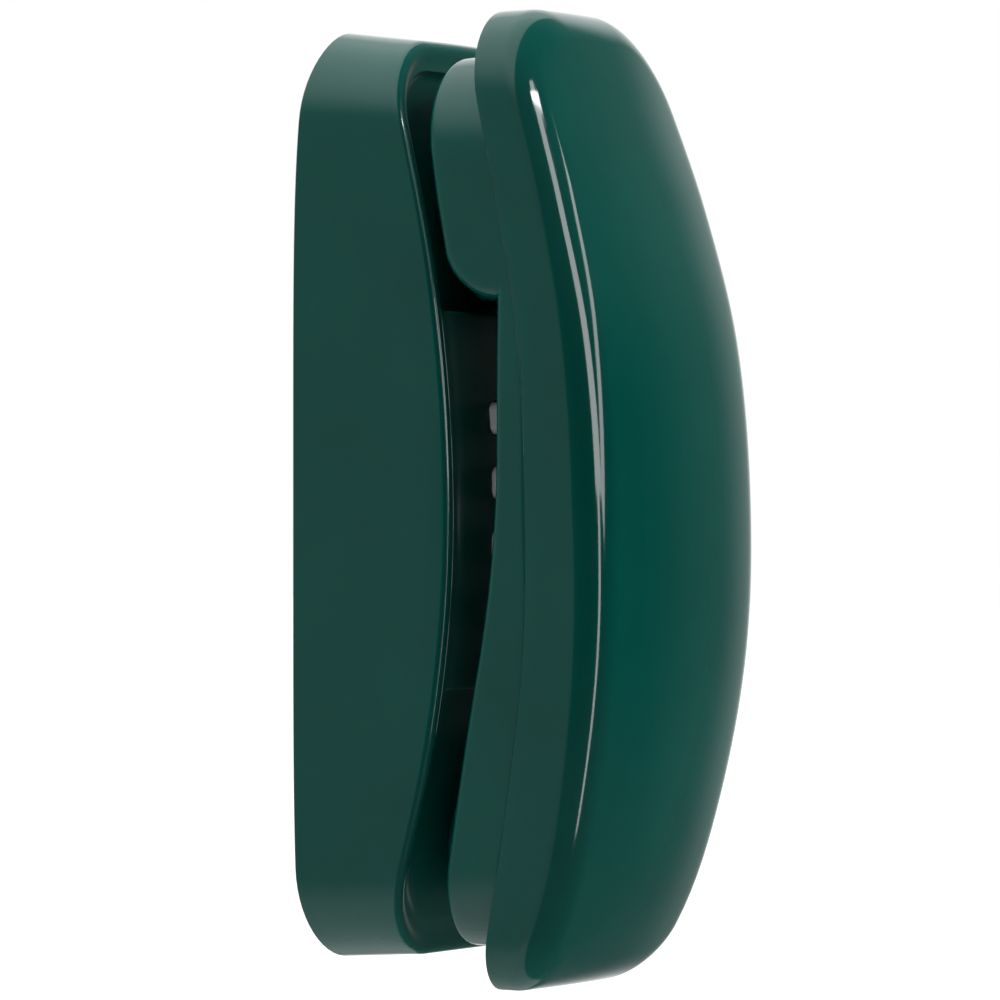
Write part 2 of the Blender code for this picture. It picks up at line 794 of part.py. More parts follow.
def board(name, half_width, low, high, front, hole_places):
    """A circuit board with a hole over each of its posts."""
    mesh = bmesh.new()
    add_box(mesh, place(-half_width, front - BOARD_THICKNESS, low), place(half_width, front, high))
    made = solid(name, mesh, board_laminate())
    holes = bmesh.new()
    for x, z in hole_places:
        add_rod(holes, place(x, front - BOARD_THICKNESS - OVERRUN, z),
                place(x, front + OVERRUN, z), SCREW_SHANK_RADIUS + GAP, SCREW_SIDES)
    cut(made, cutter(name + "_holes", holes))
    return made


def screw(name, x, z, seat, shank, direction):
    """A slotted screw whose head rests on seat; direction 1 drives it away from the wall."""
    mesh = bmesh.new()
    add_rod(mesh, place(x, seat - direction * (SCREW_HEAD_HEIGHT + GAP), z),
            place(x, seat - direction * GAP, z), SCREW_HEAD_RADIUS, SCREW_SIDES)
    made = solid(name, mesh, steel())
    stem = bmesh.new()
    add_rod(stem, place(x, seat - direction * (GAP + SCREW_HEAD_HEIGHT / 2), z),
            place(x, seat + direction * (shank - GAP), z), SCREW_SHANK_RADIUS, SCREW_SIDES)
    fuse(made, cutter(name + "_shank", stem))
    slot = bmesh.new()
    top = seat - direction * (SCREW_HEAD_HEIGHT + GAP)
    add_box(slot, place(x - DRIVE_SLOT_WIDTH / 2, top - OVERRUN * direction, z - SCREW_HEAD_RADIUS * 2),
            place(x + DRIVE_SLOT_WIDTH / 2, top + DRIVE_SLOT_DEPTH * direction,
                  z + SCREW_HEAD_RADIUS * 2))
    cut(made, cutter(name + "_slot", slot))
    return made


def main_posts():
    for side, z in ((-1, MAIN_BOARD_LOW_Z + MAIN_POST_EDGE), (1, MAIN_BOARD_LOW_Z + MAIN_POST_EDGE),
                    (-1, MAIN_BOARD_HIGH_Z - MAIN_POST_EDGE), (1, MAIN_BOARD_HIGH_Z - MAIN_POST_EDGE)):
        yield side * (MAIN_BOARD_HALF_WIDTH - MAIN_POST_EDGE), z


def counterbore_seat():
    return SCREW_HEAD_HEIGHT + GAP


def wall_plate():
    inset = WALL + GAP
    rings = [base_ring(inset, lambda z: 0.0), base_ring(inset, lambda z: PLATE_THICKNESS)]
    plate = solid("wall_plate", loft(rings), dark_green_plastic())

    raised = bmesh.new()
    for x, z in main_posts():
        add_rod(raised, place(x, PLATE_THICKNESS / 2, z),
                place(x, MAIN_BOARD_DEPTH - GAP, z), MAIN_POST_RADIUS, SCREW_SIDES)
    fuse(plate, cutter("plate_posts", raised))
    ring_out = RINGER_RADIUS + GAP + RINGER_RING_WALL
    top = PLATE_THICKNESS + RINGER_RING_HEIGHT
    ring = bmesh.new()
    add_rod(ring, place(0.0, PLATE_THICKNESS / 2, RINGER_Z), place(0.0, top, RINGER_Z), ring_out)
    fuse(plate, cutter("ringer_ring", ring))
    hollow = bmesh.new()
    add_rod(hollow, place(0.0, PLATE_THICKNESS, RINGER_Z), place(0.0, top + OVERRUN, RINGER_Z),
            RINGER_RADIUS + GAP)
    cut(plate, cutter("ringer_hollow", hollow))

    holes = bmesh.new()
    for x, z in plate_posts():
        add_rod(holes, place(x, -OVERRUN, z), place(x, PLATE_THICKNESS + OVERRUN, z),
                SCREW_SHANK_RADIUS + GAP, SCREW_SIDES)
    for x, z in main_posts():
        add_rod(holes, place(x, MAIN_BOARD_DEPTH - SHORT_SHANK_LENGTH, z),
                place(x, MAIN_BOARD_DEPTH + OVERRUN, z), SCREW_SHANK_RADIUS + GAP, SCREW_SIDES)
    for step in range(RINGER_HOLES):
        turn = math.tau * step / RINGER_HOLES
        x = RINGER_HOLE_CIRCLE * math.cos(turn)
        z = RINGER_Z + RINGER_HOLE_CIRCLE * math.sin(turn)
        add_rod(holes, place(x, -OVERRUN, z), place(x, PLATE_THICKNESS + OVERRUN / 2, z),
                RINGER_HOLE_RADIUS, HOLE_SIDES)
    side = LINE_JACK_HALF_WIDTH + GAP
    rise = JACK_HALF_HEIGHT + GAP
    add_box(holes, place(-side, -OVERRUN, LINE_JACK_Z - rise),
            place(side, PLATE_THICKNESS + OVERRUN, LINE_JACK_Z + rise))
    cut(plate, cutter("plate_holes", holes))

    seats = bmesh.new()
    for x, z in plate_posts():
        add_rod(seats, place(x, -OVERRUN, z), place(x, counterbore_seat(), z),
                SCREW_HEAD_RADIUS + GAP, SCREW_SIDES)
    for z in (-STUD_SPACING / 2, STUD_SPACING / 2):
        add_rod(seats, place(0.0, -OVERRUN, z), place(0.0, PLATE_THICKNESS + OVERRUN, z),
                STUD_HEAD_RADIUS, 24)
    cut(plate, cutter("plate_seats", seats))
    slots = bmesh.new()
    for z in (-STUD_SPACING / 2, STUD_SPACING / 2):
        ring = outline(STUD_SLOT_RADIUS, z, z + STUD_SLOT_LENGTH, STUD_SLOT_RADIUS / 2,
                       STUD_SLOT_RADIUS * STUD_SLOT_ROUND_SHARE, (), 4)
        slot = loft([[place(x, depth, height) for x, height in ring] for depth in
                     (-OVERRUN / 2, PLATE_THICKNESS + OVERRUN / 2)])
        spare = bpy.data.meshes.new("keyhole")
        slot.to_mesh(spare)
        slot.free()
        slots.from_mesh(spare)
        bpy.data.meshes.remove(spare)
    cut(plate, cutter("keyhole_slots", slots))
    weld(plate)
    return plate


def ringer():
    """A flat sounder: a can with a stepped rim, its sound opening towards the wall."""
    back = PLATE_THICKNESS + GAP
    top = RINGER_HEIGHT
    profile = [(0.0, top), (RINGER_RADIUS - RINGER_LIP, top),
               (RINGER_RADIUS - RINGER_LIP, top - RINGER_LIP), (RINGER_RADIUS, top - RINGER_LIP),
               (RINGER_RADIUS, 0.0), (RINGER_HOLE_RADIUS, 0.0),
               (RINGER_HOLE_RADIUS, RINGER_LIP), (0.0, RINGER_LIP)]
    return turned("ringer", profile, place(0.0, back, RINGER_Z), 0.0, black_plastic())


def jack(name, centre, mouth, latch, half_width, mouth_half_width):
    """A modular jack: a block with a plug socket and latch notch; mouth and latch are unit vectors."""
    side = mouth.cross(latch)
    frame = Matrix.Translation(centre) @ Matrix((side, latch, mouth)).transposed().to_4x4()
    mesh = bmesh.new()
    add_box(mesh, Vector((-half_width, -JACK_HALF_HEIGHT, -JACK_LENGTH)),
            Vector((half_width, JACK_HALF_HEIGHT, 0.0)))
    made = solid(name, mesh, black_plastic())
    made.matrix_world = frame
    socket = bmesh.new()
    add_box(socket, Vector((-mouth_half_width, -JACK_MOUTH_HALF_HEIGHT, -JACK_MOUTH_DEPTH)),
            Vector((mouth_half_width, JACK_MOUTH_HALF_HEIGHT, OVERRUN)))
    hollow = cutter(name + "_socket", socket)
    hollow.matrix_world = frame
    cut(made, hollow)
    notch = bmesh.new()
    add_box(notch, Vector((-JACK_LATCH_HALF_WIDTH, 0.0, -JACK_MOUTH_DEPTH / 2)),
            Vector((JACK_LATCH_HALF_WIDTH, JACK_MOUTH_HALF_HEIGHT + JACK_LATCH_RISE, OVERRUN)))
    recess = cutter(name + "_latch", notch)
    recess.matrix_world = frame
    cut(made, recess)
    return made


def plunger_top():
    """The plunger's dome just clears the ear cup's sloping face."""
    lower_side = ear_tip_depth(PLUNGER_Z + PLUNGER_RADIUS)
    return lower_side - GAP


def plunger_flange_front():
    inner = ear_floor(PLUNGER_Z + PLUNGER_FLANGE_RADIUS) - WALL
    return inner - PLUNGER_TRAVEL - GAP


def switch_top():
    return MAIN_BOARD_DEPTH + BOARD_THICKNESS + GAP + SWITCH_HEIGHT


def hook_plunger():
    top = plunger_top()
    flange = plunger_flange_front()
    stem_end = switch_top() - SWITCH_HEIGHT + PLUNGER_STEM_RADIUS
    profile = [(0.0, top), (PLUNGER_RADIUS - PLUNGER_DOME, top),
               (PLUNGER_RADIUS, top - PLUNGER_DOME), (PLUNGER_RADIUS, flange),
               (PLUNGER_FLANGE_RADIUS, flange),
               (PLUNGER_FLANGE_RADIUS, flange - PLUNGER_FLANGE_THICKNESS),
               (PLUNGER_STEM_RADIUS, flange - PLUNGER_FLANGE_THICKNESS),
               (PLUNGER_STEM_RADIUS, stem_end), (0.0, stem_end)]
    return turned("hook_plunger", profile, place(0.0, 0.0, PLUNGER_Z), 0.0, white_plastic(), 24)


def hook_spring():
    """Coil spring between the switch block and the plunger's flange."""
    start = switch_top() + GAP + SPRING_WIRE / 2
    end = plunger_flange_front() - PLUNGER_FLANGE_THICKNESS - GAP - SPRING_WIRE / 2
    radius = (PLUNGER_STEM_RADIUS + PLUNGER_FLANGE_RADIUS) / 2
    curve = bpy.data.curves.new("hook_spring", "CURVE")
    curve.dimensions = "3D"
    curve.bevel_depth = SPRING_WIRE / 2
    curve.bevel_resolution = 1
    curve.use_fill_caps = True
    steps = SPRING_TURNS * SPRING_POINTS_PER_TURN
    line = curve.splines.new("POLY")
    line.points.add(steps)
    for step in range(steps + 1):
        turn = math.tau * step / SPRING_POINTS_PER_TURN
        spot = place(radius * math.cos(turn), start + (end - start) * step / steps,
                     PLUNGER_Z + radius * math.sin(turn))
        line.points[step].co = (*spot, 1.0)
    spare = bpy.data.objects.new("spring_line", curve)
    cutters.objects.link(spare)
    graph = bpy.context.evaluated_depsgraph_get()
    data = bpy.data.meshes.new_from_object(spare.evaluated_get(graph))
    bpy.data.objects.remove(spare, do_unlink=True)
    mesh = bmesh.new()
    mesh.from_mesh(data)
    bmesh.ops.remove_doubles(mesh, verts=mesh.verts, dist=WELD_DISTANCE)
    return solid("hook_spring", mesh, steel())


def hook_switch():
    mesh = bmesh.new()
    base = MAIN_BOARD_DEPTH + BOARD_THICKNESS + GAP
    add_box(mesh, place(-SWITCH_HALF_WIDTH, base, PLUNGER_Z - SWITCH_HALF_WIDTH),
            place(SWITCH_HALF_WIDTH, switch_top(), PLUNGER_Z + SWITCH_HALF_WIDTH))
    made = solid("hook_switch", mesh, black_plastic())
    hole = bmesh.new()
    add_rod(hole, place(0.0, base + PLUNGER_STEM_RADIUS - GAP, PLUNGER_Z),
            place(0.0, switch_top() + OVERRUN, PLUNGER_Z), PLUNGER_STEM_RADIUS + GAP, SCREW_SIDES)
    cut(made, cutter("hook_switch_hole", hole))
    return made


def ringer_switch():
    """Slide switch inside the right side wall, and the knob that shows outside it."""
    inner = slider_wall_x() - WALL - SIDE_DRAFT
    middle = SLIDER_Z + SLIDER_TRAVEL / 2
    mesh = bmesh.new()
    add_box(mesh, place(inner - GAP - RINGER_SWITCH_WIDTH, SLIDER_DEPTH - RINGER_SWITCH_HEIGHT / 2,
                        middle - RINGER_SWITCH_LENGTH / 2),
            place(inner - GAP, SLIDER_DEPTH + RINGER_SWITCH_HEIGHT / 2,
                  middle + RINGER_SWITCH_LENGTH / 2))
    solid("ringer_switch", mesh, black_plastic())
    knob = bmesh.new()
    add_box(knob, place(inner, SLIDER_DEPTH - SLIDER_WIDTH / 2, SLIDER_Z - SLIDER_LENGTH / 2),
            place(slider_wall_x() + SLIDER_STAND, SLIDER_DEPTH + SLIDER_WIDTH / 2,
                  SLIDER_Z + SLIDER_LENGTH / 2))
    made = solid("ringer_slider", knob, white_plastic())
    move_origin(made, place(slider_wall_x(), SLIDER_DEPTH, SLIDER_Z))


# Forms of the handset

def front_depth(x, z):
    """Front face: an arc from top to bottom with a slight crown from side to side."""
    half_face = HANDSET_WIDTH / 2 - FRONT_EDGE
    crown = FRONT_CROWN * (1 - (x / half_face) ** 2)
    return arc(z, FRONT_CREST, FRONT_ARC_Z, HANDSET_HEIGHT / 2, FRONT_END_DROP) + crown


def seam_depth(z):
    return arc(z, SEAM_CREST, SEAM_ARC_Z, HANDSET_HEIGHT / 2, SEAM_END_DROP)


def back_depth(z):
    """Wall side of the handset: ear block, step, flat grip, bend and mouth slope."""
    if z > STEP_Z:
        return EAR_FACE_DEPTH - EAR_FACE_SLOPE_SHARE * (z - STEP_Z)
    below = GRIP_LOW_Z + GRIP_BEND / 2 - z
    if below <= 0:
        return GRIP_DEPTH
    if below < GRIP_BEND:
        return GRIP_DEPTH - MOUTH_FACE_SLOPE_SHARE * below * below / (2 * GRIP_BEND)
    return GRIP_DEPTH - MOUTH_FACE_SLOPE_SHARE * (below - GRIP_BEND / 2)


def handset_side_zs(extra=()):
    even = spread(HANDSET_Z - HANDSET_HEIGHT / 2, HANDSET_Z + HANDSET_HEIGHT / 2,
                  HANDSET_SIDE_STEPS)
    clear = HANDSET_HEIGHT / HANDSET_SIDE_STEPS / 4
    kept = [z for z in even if all(abs(z - other) > clear for other in extra)]
    return sorted(kept + list(extra))


def handset_ring(inset, depth_at):
    """Ring of the cover's outline, moved in by inset, at the depth that depth_at(x, z) gives."""
    half = HANDSET_HEIGHT / 2
    corner = HANDSET_WIDTH * HANDSET_CORNER_SHARE
    flat = outline(HANDSET_WIDTH / 2, HANDSET_Z - half, HANDSET_Z + half, corner, corner,
                   handset_side_zs(), HANDSET_CORNER_STEPS, inset)
    flat = narrowed(flat, half, HANDSET_NARROWING_SHARE, HANDSET_Z)
    return [place(x, depth_at(x, z), z) for x, z in flat]


def body_ring(inset, depth_at, step_z=STEP_Z):
    """Ring of the back shell's outline, flush with the cover along its sides."""
    flat = outline(HANDSET_WIDTH / 2, BODY_LOW_Z, BODY_HIGH_Z,
                   HANDSET_WIDTH * BODY_LOW_CORNER_SHARE, HANDSET_WIDTH * BODY_HIGH_CORNER_SHARE,
                   handset_side_zs((step_z, step_z + STEP_RUN)), HANDSET_CORNER_STEPS, inset)
    flat = narrowed(flat, HANDSET_HEIGHT / 2, HANDSET_NARROWING_SHARE, HANDSET_Z)
    return [place(x, depth_at(z), z) for x, z in flat]


def face_shares():
    return (0.6, 0.2, -0.2, -0.6)


def crowned_solid(wall, rear):
    """The cover's front form moved in by wall, closed at the back by the surface rear(z)."""
    rings = [handset_ring(wall, lambda x, z: rear(z))]
    edge = FRONT_EDGE - wall
    for angle in spread(0, 90, FRONT_EDGE_STEPS):
        turn = math.radians(angle)
        inset = wall + edge * (1 - math.cos(turn))
        drop = wall + edge * (1 - math.sin(turn))
        rings.append(handset_ring(inset, lambda x, z, drop=drop: front_depth(x, z) - drop))
    mesh = bmesh.new()
    loops = [add_ring(mesh, ring) for ring in rings]
    for ring_a, ring_b in zip(loops, loops[1:]):
        bridge(mesh, ring_a, ring_b)
    close_across(mesh, loops[0])
    crown_across(mesh, loops[-1], face_shares(),
                 lambda x, z: place(x, front_depth(x, z) - wall, z))
    return mesh


def handset_cover():
    """Crowned front shell, with a flange at each end round the opening for the back shell."""
    cover = solid("handset_cover", crowned_solid(0.0, seam_depth), green_plastic())
    cut(cover, cutter("cover_hollow", crowned_solid(
        HANDSET_WALL, lambda z: seam_depth(z) + FLANGE_THICKNESS)))
    opening = [body_ring(OPENING_INSET, lambda z: seam_depth(z) - OVERRUN),
               body_ring(OPENING_INSET, lambda z: seam_depth(z) + FLANGE_THICKNESS + GAP)]
    cut(cover, cutter("cover_opening", loft(opening)))

    posts = bmesh.new()
    for z in (UPPER_POST_Z, LOWER_POST_Z):
        add_rod(posts, place(0.0, front_depth(0.0, z) - HANDSET_WALL / 2, z),
                place(0.0, post_end(z), z), HANDSET_POST_RADIUS, SCREW_SIDES)
    fuse(cover, cutter("cover_posts", posts))
    holes = bmesh.new()
    for z in (UPPER_POST_Z, LOWER_POST_Z):
        add_rod(holes, place(0.0, back_depth(z), z),
                place(0.0, handset_screw_seat(z) + SCREW_SHANK_LENGTH + GAP, z),
                SCREW_SHANK_RADIUS + GAP, SCREW_SIDES)
    cut(cover, cutter("cover_holes", holes))
    weld(cover)
    return cover


def handset_jack_mouth_z():
    return BODY_LOW_Z + GAP


def add_handset_jack_hole(mesh):
    half_width = CORD_JACK_HALF_WIDTH + GAP
    half_height = JACK_HALF_HEIGHT + GAP
    mouth = handset_jack_mouth_z()
    add_box(mesh, place(-half_width, HANDSET_JACK_DEPTH - half_height, mouth - OVERRUN),
            place(half_width, HANDSET_JACK_DEPTH + half_height, mouth + JACK_LENGTH + GAP))


def cup_profile(radius, length, edge, root):
    """Half section of a cup: a rounded face at length, running down its side to the root."""
    profile = [(0.0, length)]
    for angle in spread(0, 90, 3):
        turn = math.radians(angle)
        profile.append((radius - edge + edge * math.sin(turn), length - edge + edge * math.cos(turn)))
    return profile + [(radius, -root), (0.0, -root)]


def toward_wall(tilt):
    """Rotation for a turned piece whose axis points to the wall and leans by tilt."""
    return (math.radians(-90) - tilt, 0.0, 0.0)


def cup_root(tip, tilt, projection):
    depth, z = tip
    return place(0.0, depth + projection * math.cos(tilt), z + projection * math.sin(tilt))


def ear_frame():
    return cup_root(ear_tip_centre(), EAR_TILT, EAR_PROJECTION), EAR_TILT


def mouth_frame():
    return cup_root(mouth_tip_centre(), -MOUTH_TILT, MOUTH_PROJECTION), -MOUTH_TILT


def cup_piece(name, profile, frame, finish=None, sides=ROUND_SIDES):
    """A turned piece on a cup's axis, with heights measured from the cup's root to the wall."""
    centre, tilt = frame
    made = turned(name, profile, centre, 0.0, finish, sides)
    made.rotation_euler = toward_wall(tilt)
    return made


def cup_axis(frame):
    centre, tilt = frame
    return Vector((0.0, math.cos(tilt), -math.sin(tilt)))


def cup_point(frame, side, up, height):
    """A point of a cup given across, up its face and along its axis."""
    centre, tilt = frame
    upward = Vector((0.0, math.sin(tilt), math.cos(tilt)))
    return centre + Vector((side, 0.0, 0.0)) + upward * up + cup_axis(frame) * height


def add_cup_hole(mesh, frame, side, up, radius, projection):
    add_rod(mesh, cup_point(frame, side, up, projection - CUP_TIP_WALL - OVERRUN / 2),
            cup_point(frame, side, up, projection + OVERRUN), radius, HOLE_SIDES)


def ring_profile(outer, inner, low, high):
    return [(outer, high), (outer, low), (inner, low), (inner, high), (outer, high)]


def tube_profile(outer, low, high):
    return [(0.0, high), (outer, high), (outer, low), (0.0, low)]


def body_roof(z):
    """Inside of the back shell, one wall thickness in from its wall side."""
    behind_step = STEP_Z < z <= STEP_Z + HANDSET_WALL
    return (GRIP_DEPTH if behind_step else back_depth(z)) + HANDSET_WALL


def step_corner_cutter(name, wall):
    """Rounds the two lower corners of the ear block, or of its hollow one wall further in."""
    mesh = bmesh.new()
    half = HANDSET_WIDTH / 2
    radius = STEP_CORNER - wall
    for side in (-1, 1):
        ring = [(half + OVERRUN, STEP_Z - GAP), (half + OVERRUN, STEP_Z + STEP_CORNER)]
        for angle in spread(0, 90, 5):
            turn = math.radians(angle)
            ring.append((half - STEP_CORNER + radius * math.cos(turn),
                         STEP_Z + STEP_CORNER - radius * math.sin(turn)))
        ring.append((half - STEP_CORNER, STEP_Z - GAP))
        loops = [add_ring(mesh, [place(side * x, depth, z) for x, z in ring])
                 for depth in (EAR_FACE_DEPTH - STEP_CORNER, GRIP_DEPTH + wall - GAP / 2)]
        bridge(mesh, *loops)
        for loop in loops:
            mesh.faces.new(loop)
    return cutter(name, mesh)


def handset_body():
    """Back shell of the handset: grip, tongue along the seam and the two hollow cups."""
    rings = [body_ring(TONGUE_INSET, lambda z: seam_depth(z) + TONGUE_HEIGHT),
             body_ring(TONGUE_INSET, lambda z: seam_depth(z) - GAP),
             body_ring(0.0, lambda z: seam_depth(z) - GAP)]
    for angle in spread(0, 90, 3):
        turn = math.radians(angle)
        inset = BACK_EDGE * (1 - math.cos(turn))
        rise = BACK_EDGE * (1 - math.sin(turn))
        rings.append(body_ring(inset, lambda z, rise=rise: back_depth(z) + rise))
    shell = solid("handset_body", loft(rings), green_plastic())
    cut(shell, step_corner_cutter("step_corners", 0.0))

    ear = ear_frame()
    mouth = mouth_frame()
    fuse(shell, cup_piece("ear_cup", cup_profile(EAR_RADIUS, EAR_PROJECTION, CUP_EDGE, CUP_ROOT),
                          ear, None, CUP_STEPS))
    fuse(shell, cup_piece("mouth_cup", cup_profile(MOUTH_RADIUS, MOUTH_PROJECTION, CUP_EDGE,
                                                   CUP_ROOT), mouth, None, CUP_STEPS))
    step = STEP_Z + HANDSET_WALL
    hollow = cutter("body_hollow", loft([
        body_ring(TONGUE_INSET + TONGUE_THICKNESS, lambda z: FRONT_CREST, step),
        body_ring(TONGUE_INSET + TONGUE_THICKNESS, lambda z: seam_depth(z) - GAP, step),
        body_ring(HANDSET_WALL, lambda z: (seam_depth(z) + body_roof(z)) / 2, step),
        body_ring(HANDSET_WALL, body_roof, step)]))
    cut(hollow, step_corner_cutter("hollow_corners", HANDSET_WALL))
    cut(shell, hollow)
    for name, frame, radius, projection in (
            ("ear_hollow", ear, EAR_RADIUS - HANDSET_WALL, EAR_PROJECTION),
            ("mouth_hollow", mouth, MOUTH_RADIUS - HANDSET_WALL, MOUTH_PROJECTION)):
        profile = tube_profile(radius, -CUP_ROOT - OVERRUN, projection - CUP_TIP_WALL)
        cut(shell, cup_piece(name, profile, frame, None, CUP_STEPS))

    inside = projection_floor(EAR_PROJECTION)
    fuse(shell, cup_piece("receiver_ring", ring_profile(
        RECEIVER_RADIUS + GAP + LOCATING_WALL, RECEIVER_RADIUS + GAP,
        inside - LOCATING_HEIGHT, inside + CUP_TIP_WALL / 2), ear))
    inside = projection_floor(MOUTH_PROJECTION)
    boot = MICROPHONE_RADIUS + GAP + BOOT_WALL + GAP
    fuse(shell, cup_piece("boot_ring", ring_profile(
        boot + LOCATING_WALL, boot, inside - LOCATING_HEIGHT, inside + CUP_TIP_WALL / 2), mouth))

    pegs = bmesh.new()
    for x in (-WEIGHT_PEG_X, WEIGHT_PEG_X):
        z = (WEIGHT_LOW_Z + WEIGHT_HIGH_Z) / 2
        add_rod(pegs, place(x, back_depth(z) + HANDSET_WALL / 2, z),
                place(x, weight_rear() + WEIGHT_THICKNESS, z), WEIGHT_PEG_RADIUS, SCREW_SIDES)
    fuse(shell, cutter("weight_pegs", pegs))

    holes = bmesh.new()
    add_cup_hole(holes, ear, 0.0, 0.0, EAR_HOLE_RADIUS, EAR_PROJECTION)
    for ring, circle in enumerate(EAR_HOLE_CIRCLES):
        for step in range(EAR_HOLES_PER_CIRCLE * (ring + 1)):
            turn = math.tau * step / (EAR_HOLES_PER_CIRCLE * (ring + 1))
            add_cup_hole(holes, ear, circle * math.cos(turn), circle * math.sin(turn),
                         EAR_HOLE_RADIUS, EAR_PROJECTION)
    add_cup_hole(holes, mouth, 0.0, 0.0, MOUTH_HOLE_RADIUS, MOUTH_PROJECTION)
    for step in range(MOUTH_HOLES):
        turn = math.tau * step / MOUTH_HOLES
        add_cup_hole(holes, mouth, MOUTH_HOLE_CIRCLE * math.cos(turn),
                     MOUTH_HOLE_CIRCLE * math.sin(turn), MOUTH_HOLE_RADIUS, MOUTH_PROJECTION)
    for z in (UPPER_POST_Z, LOWER_POST_Z):
        add_rod(holes, place(0.0, back_depth(z) - OVERRUN, z),
                place(0.0, back_depth(z) + HANDSET_WALL + GAP, z),
                SCREW_SHANK_RADIUS + GAP, SCREW_SIDES)
    lip_front = ear_tip_depth(BED_TOP_Z) + LIP_THICKNESS
    half_slot = TAB_WIDTH / 2 + SLOT_SIDE_CLEARANCE
    add_box(holes, place(-half_slot, lip_front, BED_TOP_Z - OVERRUN),
            place(half_slot, lip_front + SLOT_FRONT, BED_TOP_Z + SLOT_RISE))
    add_handset_jack_hole(holes)
    cut(shell, cutter("body_holes", holes))
    seats = bmesh.new()
    for z in (UPPER_POST_Z, LOWER_POST_Z):
        add_rod(seats, place(0.0, back_depth(z) - OVERRUN, z),
                place(0.0, handset_screw_seat(z), z), SCREW_HEAD_RADIUS + GAP, SCREW_SIDES)
    cut(shell, cutter("body_seats", seats))
    weld(shell)
    return shell


def post_end(z):
    """A post stops a gap above the back shell's inside, at the deeper of its two sides."""
    deeper = max(back_depth(z - HANDSET_POST_RADIUS), back_depth(z + HANDSET_POST_RADIUS))
    return deeper + HANDSET_WALL + GAP


def handset_screw_seat(z):
    return back_depth(z) + SCREW_HEAD_HEIGHT


def projection_floor(projection):
    """Height of a cup's inner floor above its root."""
    return projection - CUP_TIP_WALL


def weight_rear():
    return GRIP_DEPTH + HANDSET_WALL + GAP


def receiver():
    top = projection_floor(EAR_PROJECTION) - GAP - SEAL_THICKNESS - GAP
    profile = [(0.0, top), (RECEIVER_RADIUS, top), (RECEIVER_RADIUS, top - RECEIVER_HEIGHT / 2),
               (RECEIVER_RADIUS - RECEIVER_RIM, top - RECEIVER_HEIGHT / 2),
               (RECEIVER_RADIUS - 2 * RECEIVER_RIM, top - RECEIVER_HEIGHT),
               (0.0, top - RECEIVER_HEIGHT)]
    return cup_piece("receiver", profile, ear_frame(), black_plastic())


def receiver_seal():
    top = projection_floor(EAR_PROJECTION) - GAP
    profile = ring_profile(RECEIVER_RADIUS, RECEIVER_RADIUS - SEAL_WIDTH,
                           top - SEAL_THICKNESS, top)
    return cup_piece("receiver_seal", profile, ear_frame(), foam())


def microphone():
    """Microphone capsule and the rubber boot that holds it in the mouth cup."""
    top = projection_floor(MOUTH_PROJECTION) - GAP
    outer = MICROPHONE_RADIUS + GAP + BOOT_WALL
    floor = top - BOOT_WALL
    length = MICROPHONE_HEIGHT + BOOT_WALL
    profile = [(MICROPHONE_RADIUS / 2, top), (outer, top), (outer, top - length),
               (outer - BOOT_WALL, top - length), (outer - BOOT_WALL, floor),
               (MICROPHONE_RADIUS / 2, floor), (MICROPHONE_RADIUS / 2, top)]
    cup_piece("microphone_boot", profile, mouth_frame(), rubber())
    cup_piece("microphone", tube_profile(MICROPHONE_RADIUS, floor - GAP - MICROPHONE_HEIGHT,
                                         floor - GAP), mouth_frame(), steel(), 24)


def handset_weight():
    ring = outline(WEIGHT_HALF_WIDTH, WEIGHT_LOW_Z, WEIGHT_HIGH_Z, WEIGHT_CORNER,
                   WEIGHT_CORNER, (), 3)
    depths = (weight_rear(), weight_rear() + WEIGHT_THICKNESS)
    mesh = loft([[place(x, depth, z) for x, z in ring] for depth in depths])
    made = solid("handset_weight", mesh, steel())
    holes = bmesh.new()
    z = (WEIGHT_LOW_Z + WEIGHT_HIGH_Z) / 2
    for x in (-WEIGHT_PEG_X, WEIGHT_PEG_X):
        add_rod(holes, place(x, depths[0] - OVERRUN, z), place(x, depths[1] + OVERRUN, z),
                WEIGHT_PEG_RADIUS + GAP, SCREW_SIDES)
    cut(made, cutter("weight_holes", holes))
    return made


def build_base():
    base_housing()
    hook_tab()
    wall_plate()
    for key, x, z in key_centres():
        key_solid(key, x, z)
    key_mat()
    low, high = board_ends()
    board("keypad_board", board_half_width(), low, high, board_front(), board_posts())
    board("main_board", MAIN_BOARD_HALF_WIDTH, MAIN_BOARD_LOW_Z, MAIN_BOARD_HIGH_Z,
          MAIN_BOARD_DEPTH + BOARD_THICKNESS, main_posts())
    for number, (x, z) in enumerate(board_posts(), 1):
        screw(f"keypad_screw_{number}", x, z, board_front() - BOARD_THICKNESS,
              SHORT_SHANK_LENGTH, 1)
    for number, (x, z) in enumerate(plate_posts(), 1):
        screw(f"base_screw_{number}", x, z, counterbore_seat(), SCREW_SHANK_LENGTH, 1)
    for number, (x, z) in enumerate(main_posts(), 1):
        screw(f"main_screw_{number}", x, z, MAIN_BOARD_DEPTH + BOARD_THICKNESS,
              SHORT_SHANK_LENGTH, -1)
    ringer()
    jack("line_jack", place(0.0, GAP, LINE_JACK_Z), Vector((0.0, 1.0, 0.0)),
         Vector((0.0, 0.0, 1.0)), LINE_JACK_HALF_WIDTH, LINE_MOUTH_HALF_WIDTH)
    jack("cord_jack", place(0.0, CORD_JACK_DEPTH, -BASE_HEIGHT / 2 + WALL),
         Vector((0.0, 0.0, -1.0)), Vector((0.0, -1.0, 0.0)),
         CORD_JACK_HALF_WIDTH, CORD_MOUTH_HALF_WIDTH)
    hook_plunger()
    hook_spring()
    hook_switch()
    ringer_switch()


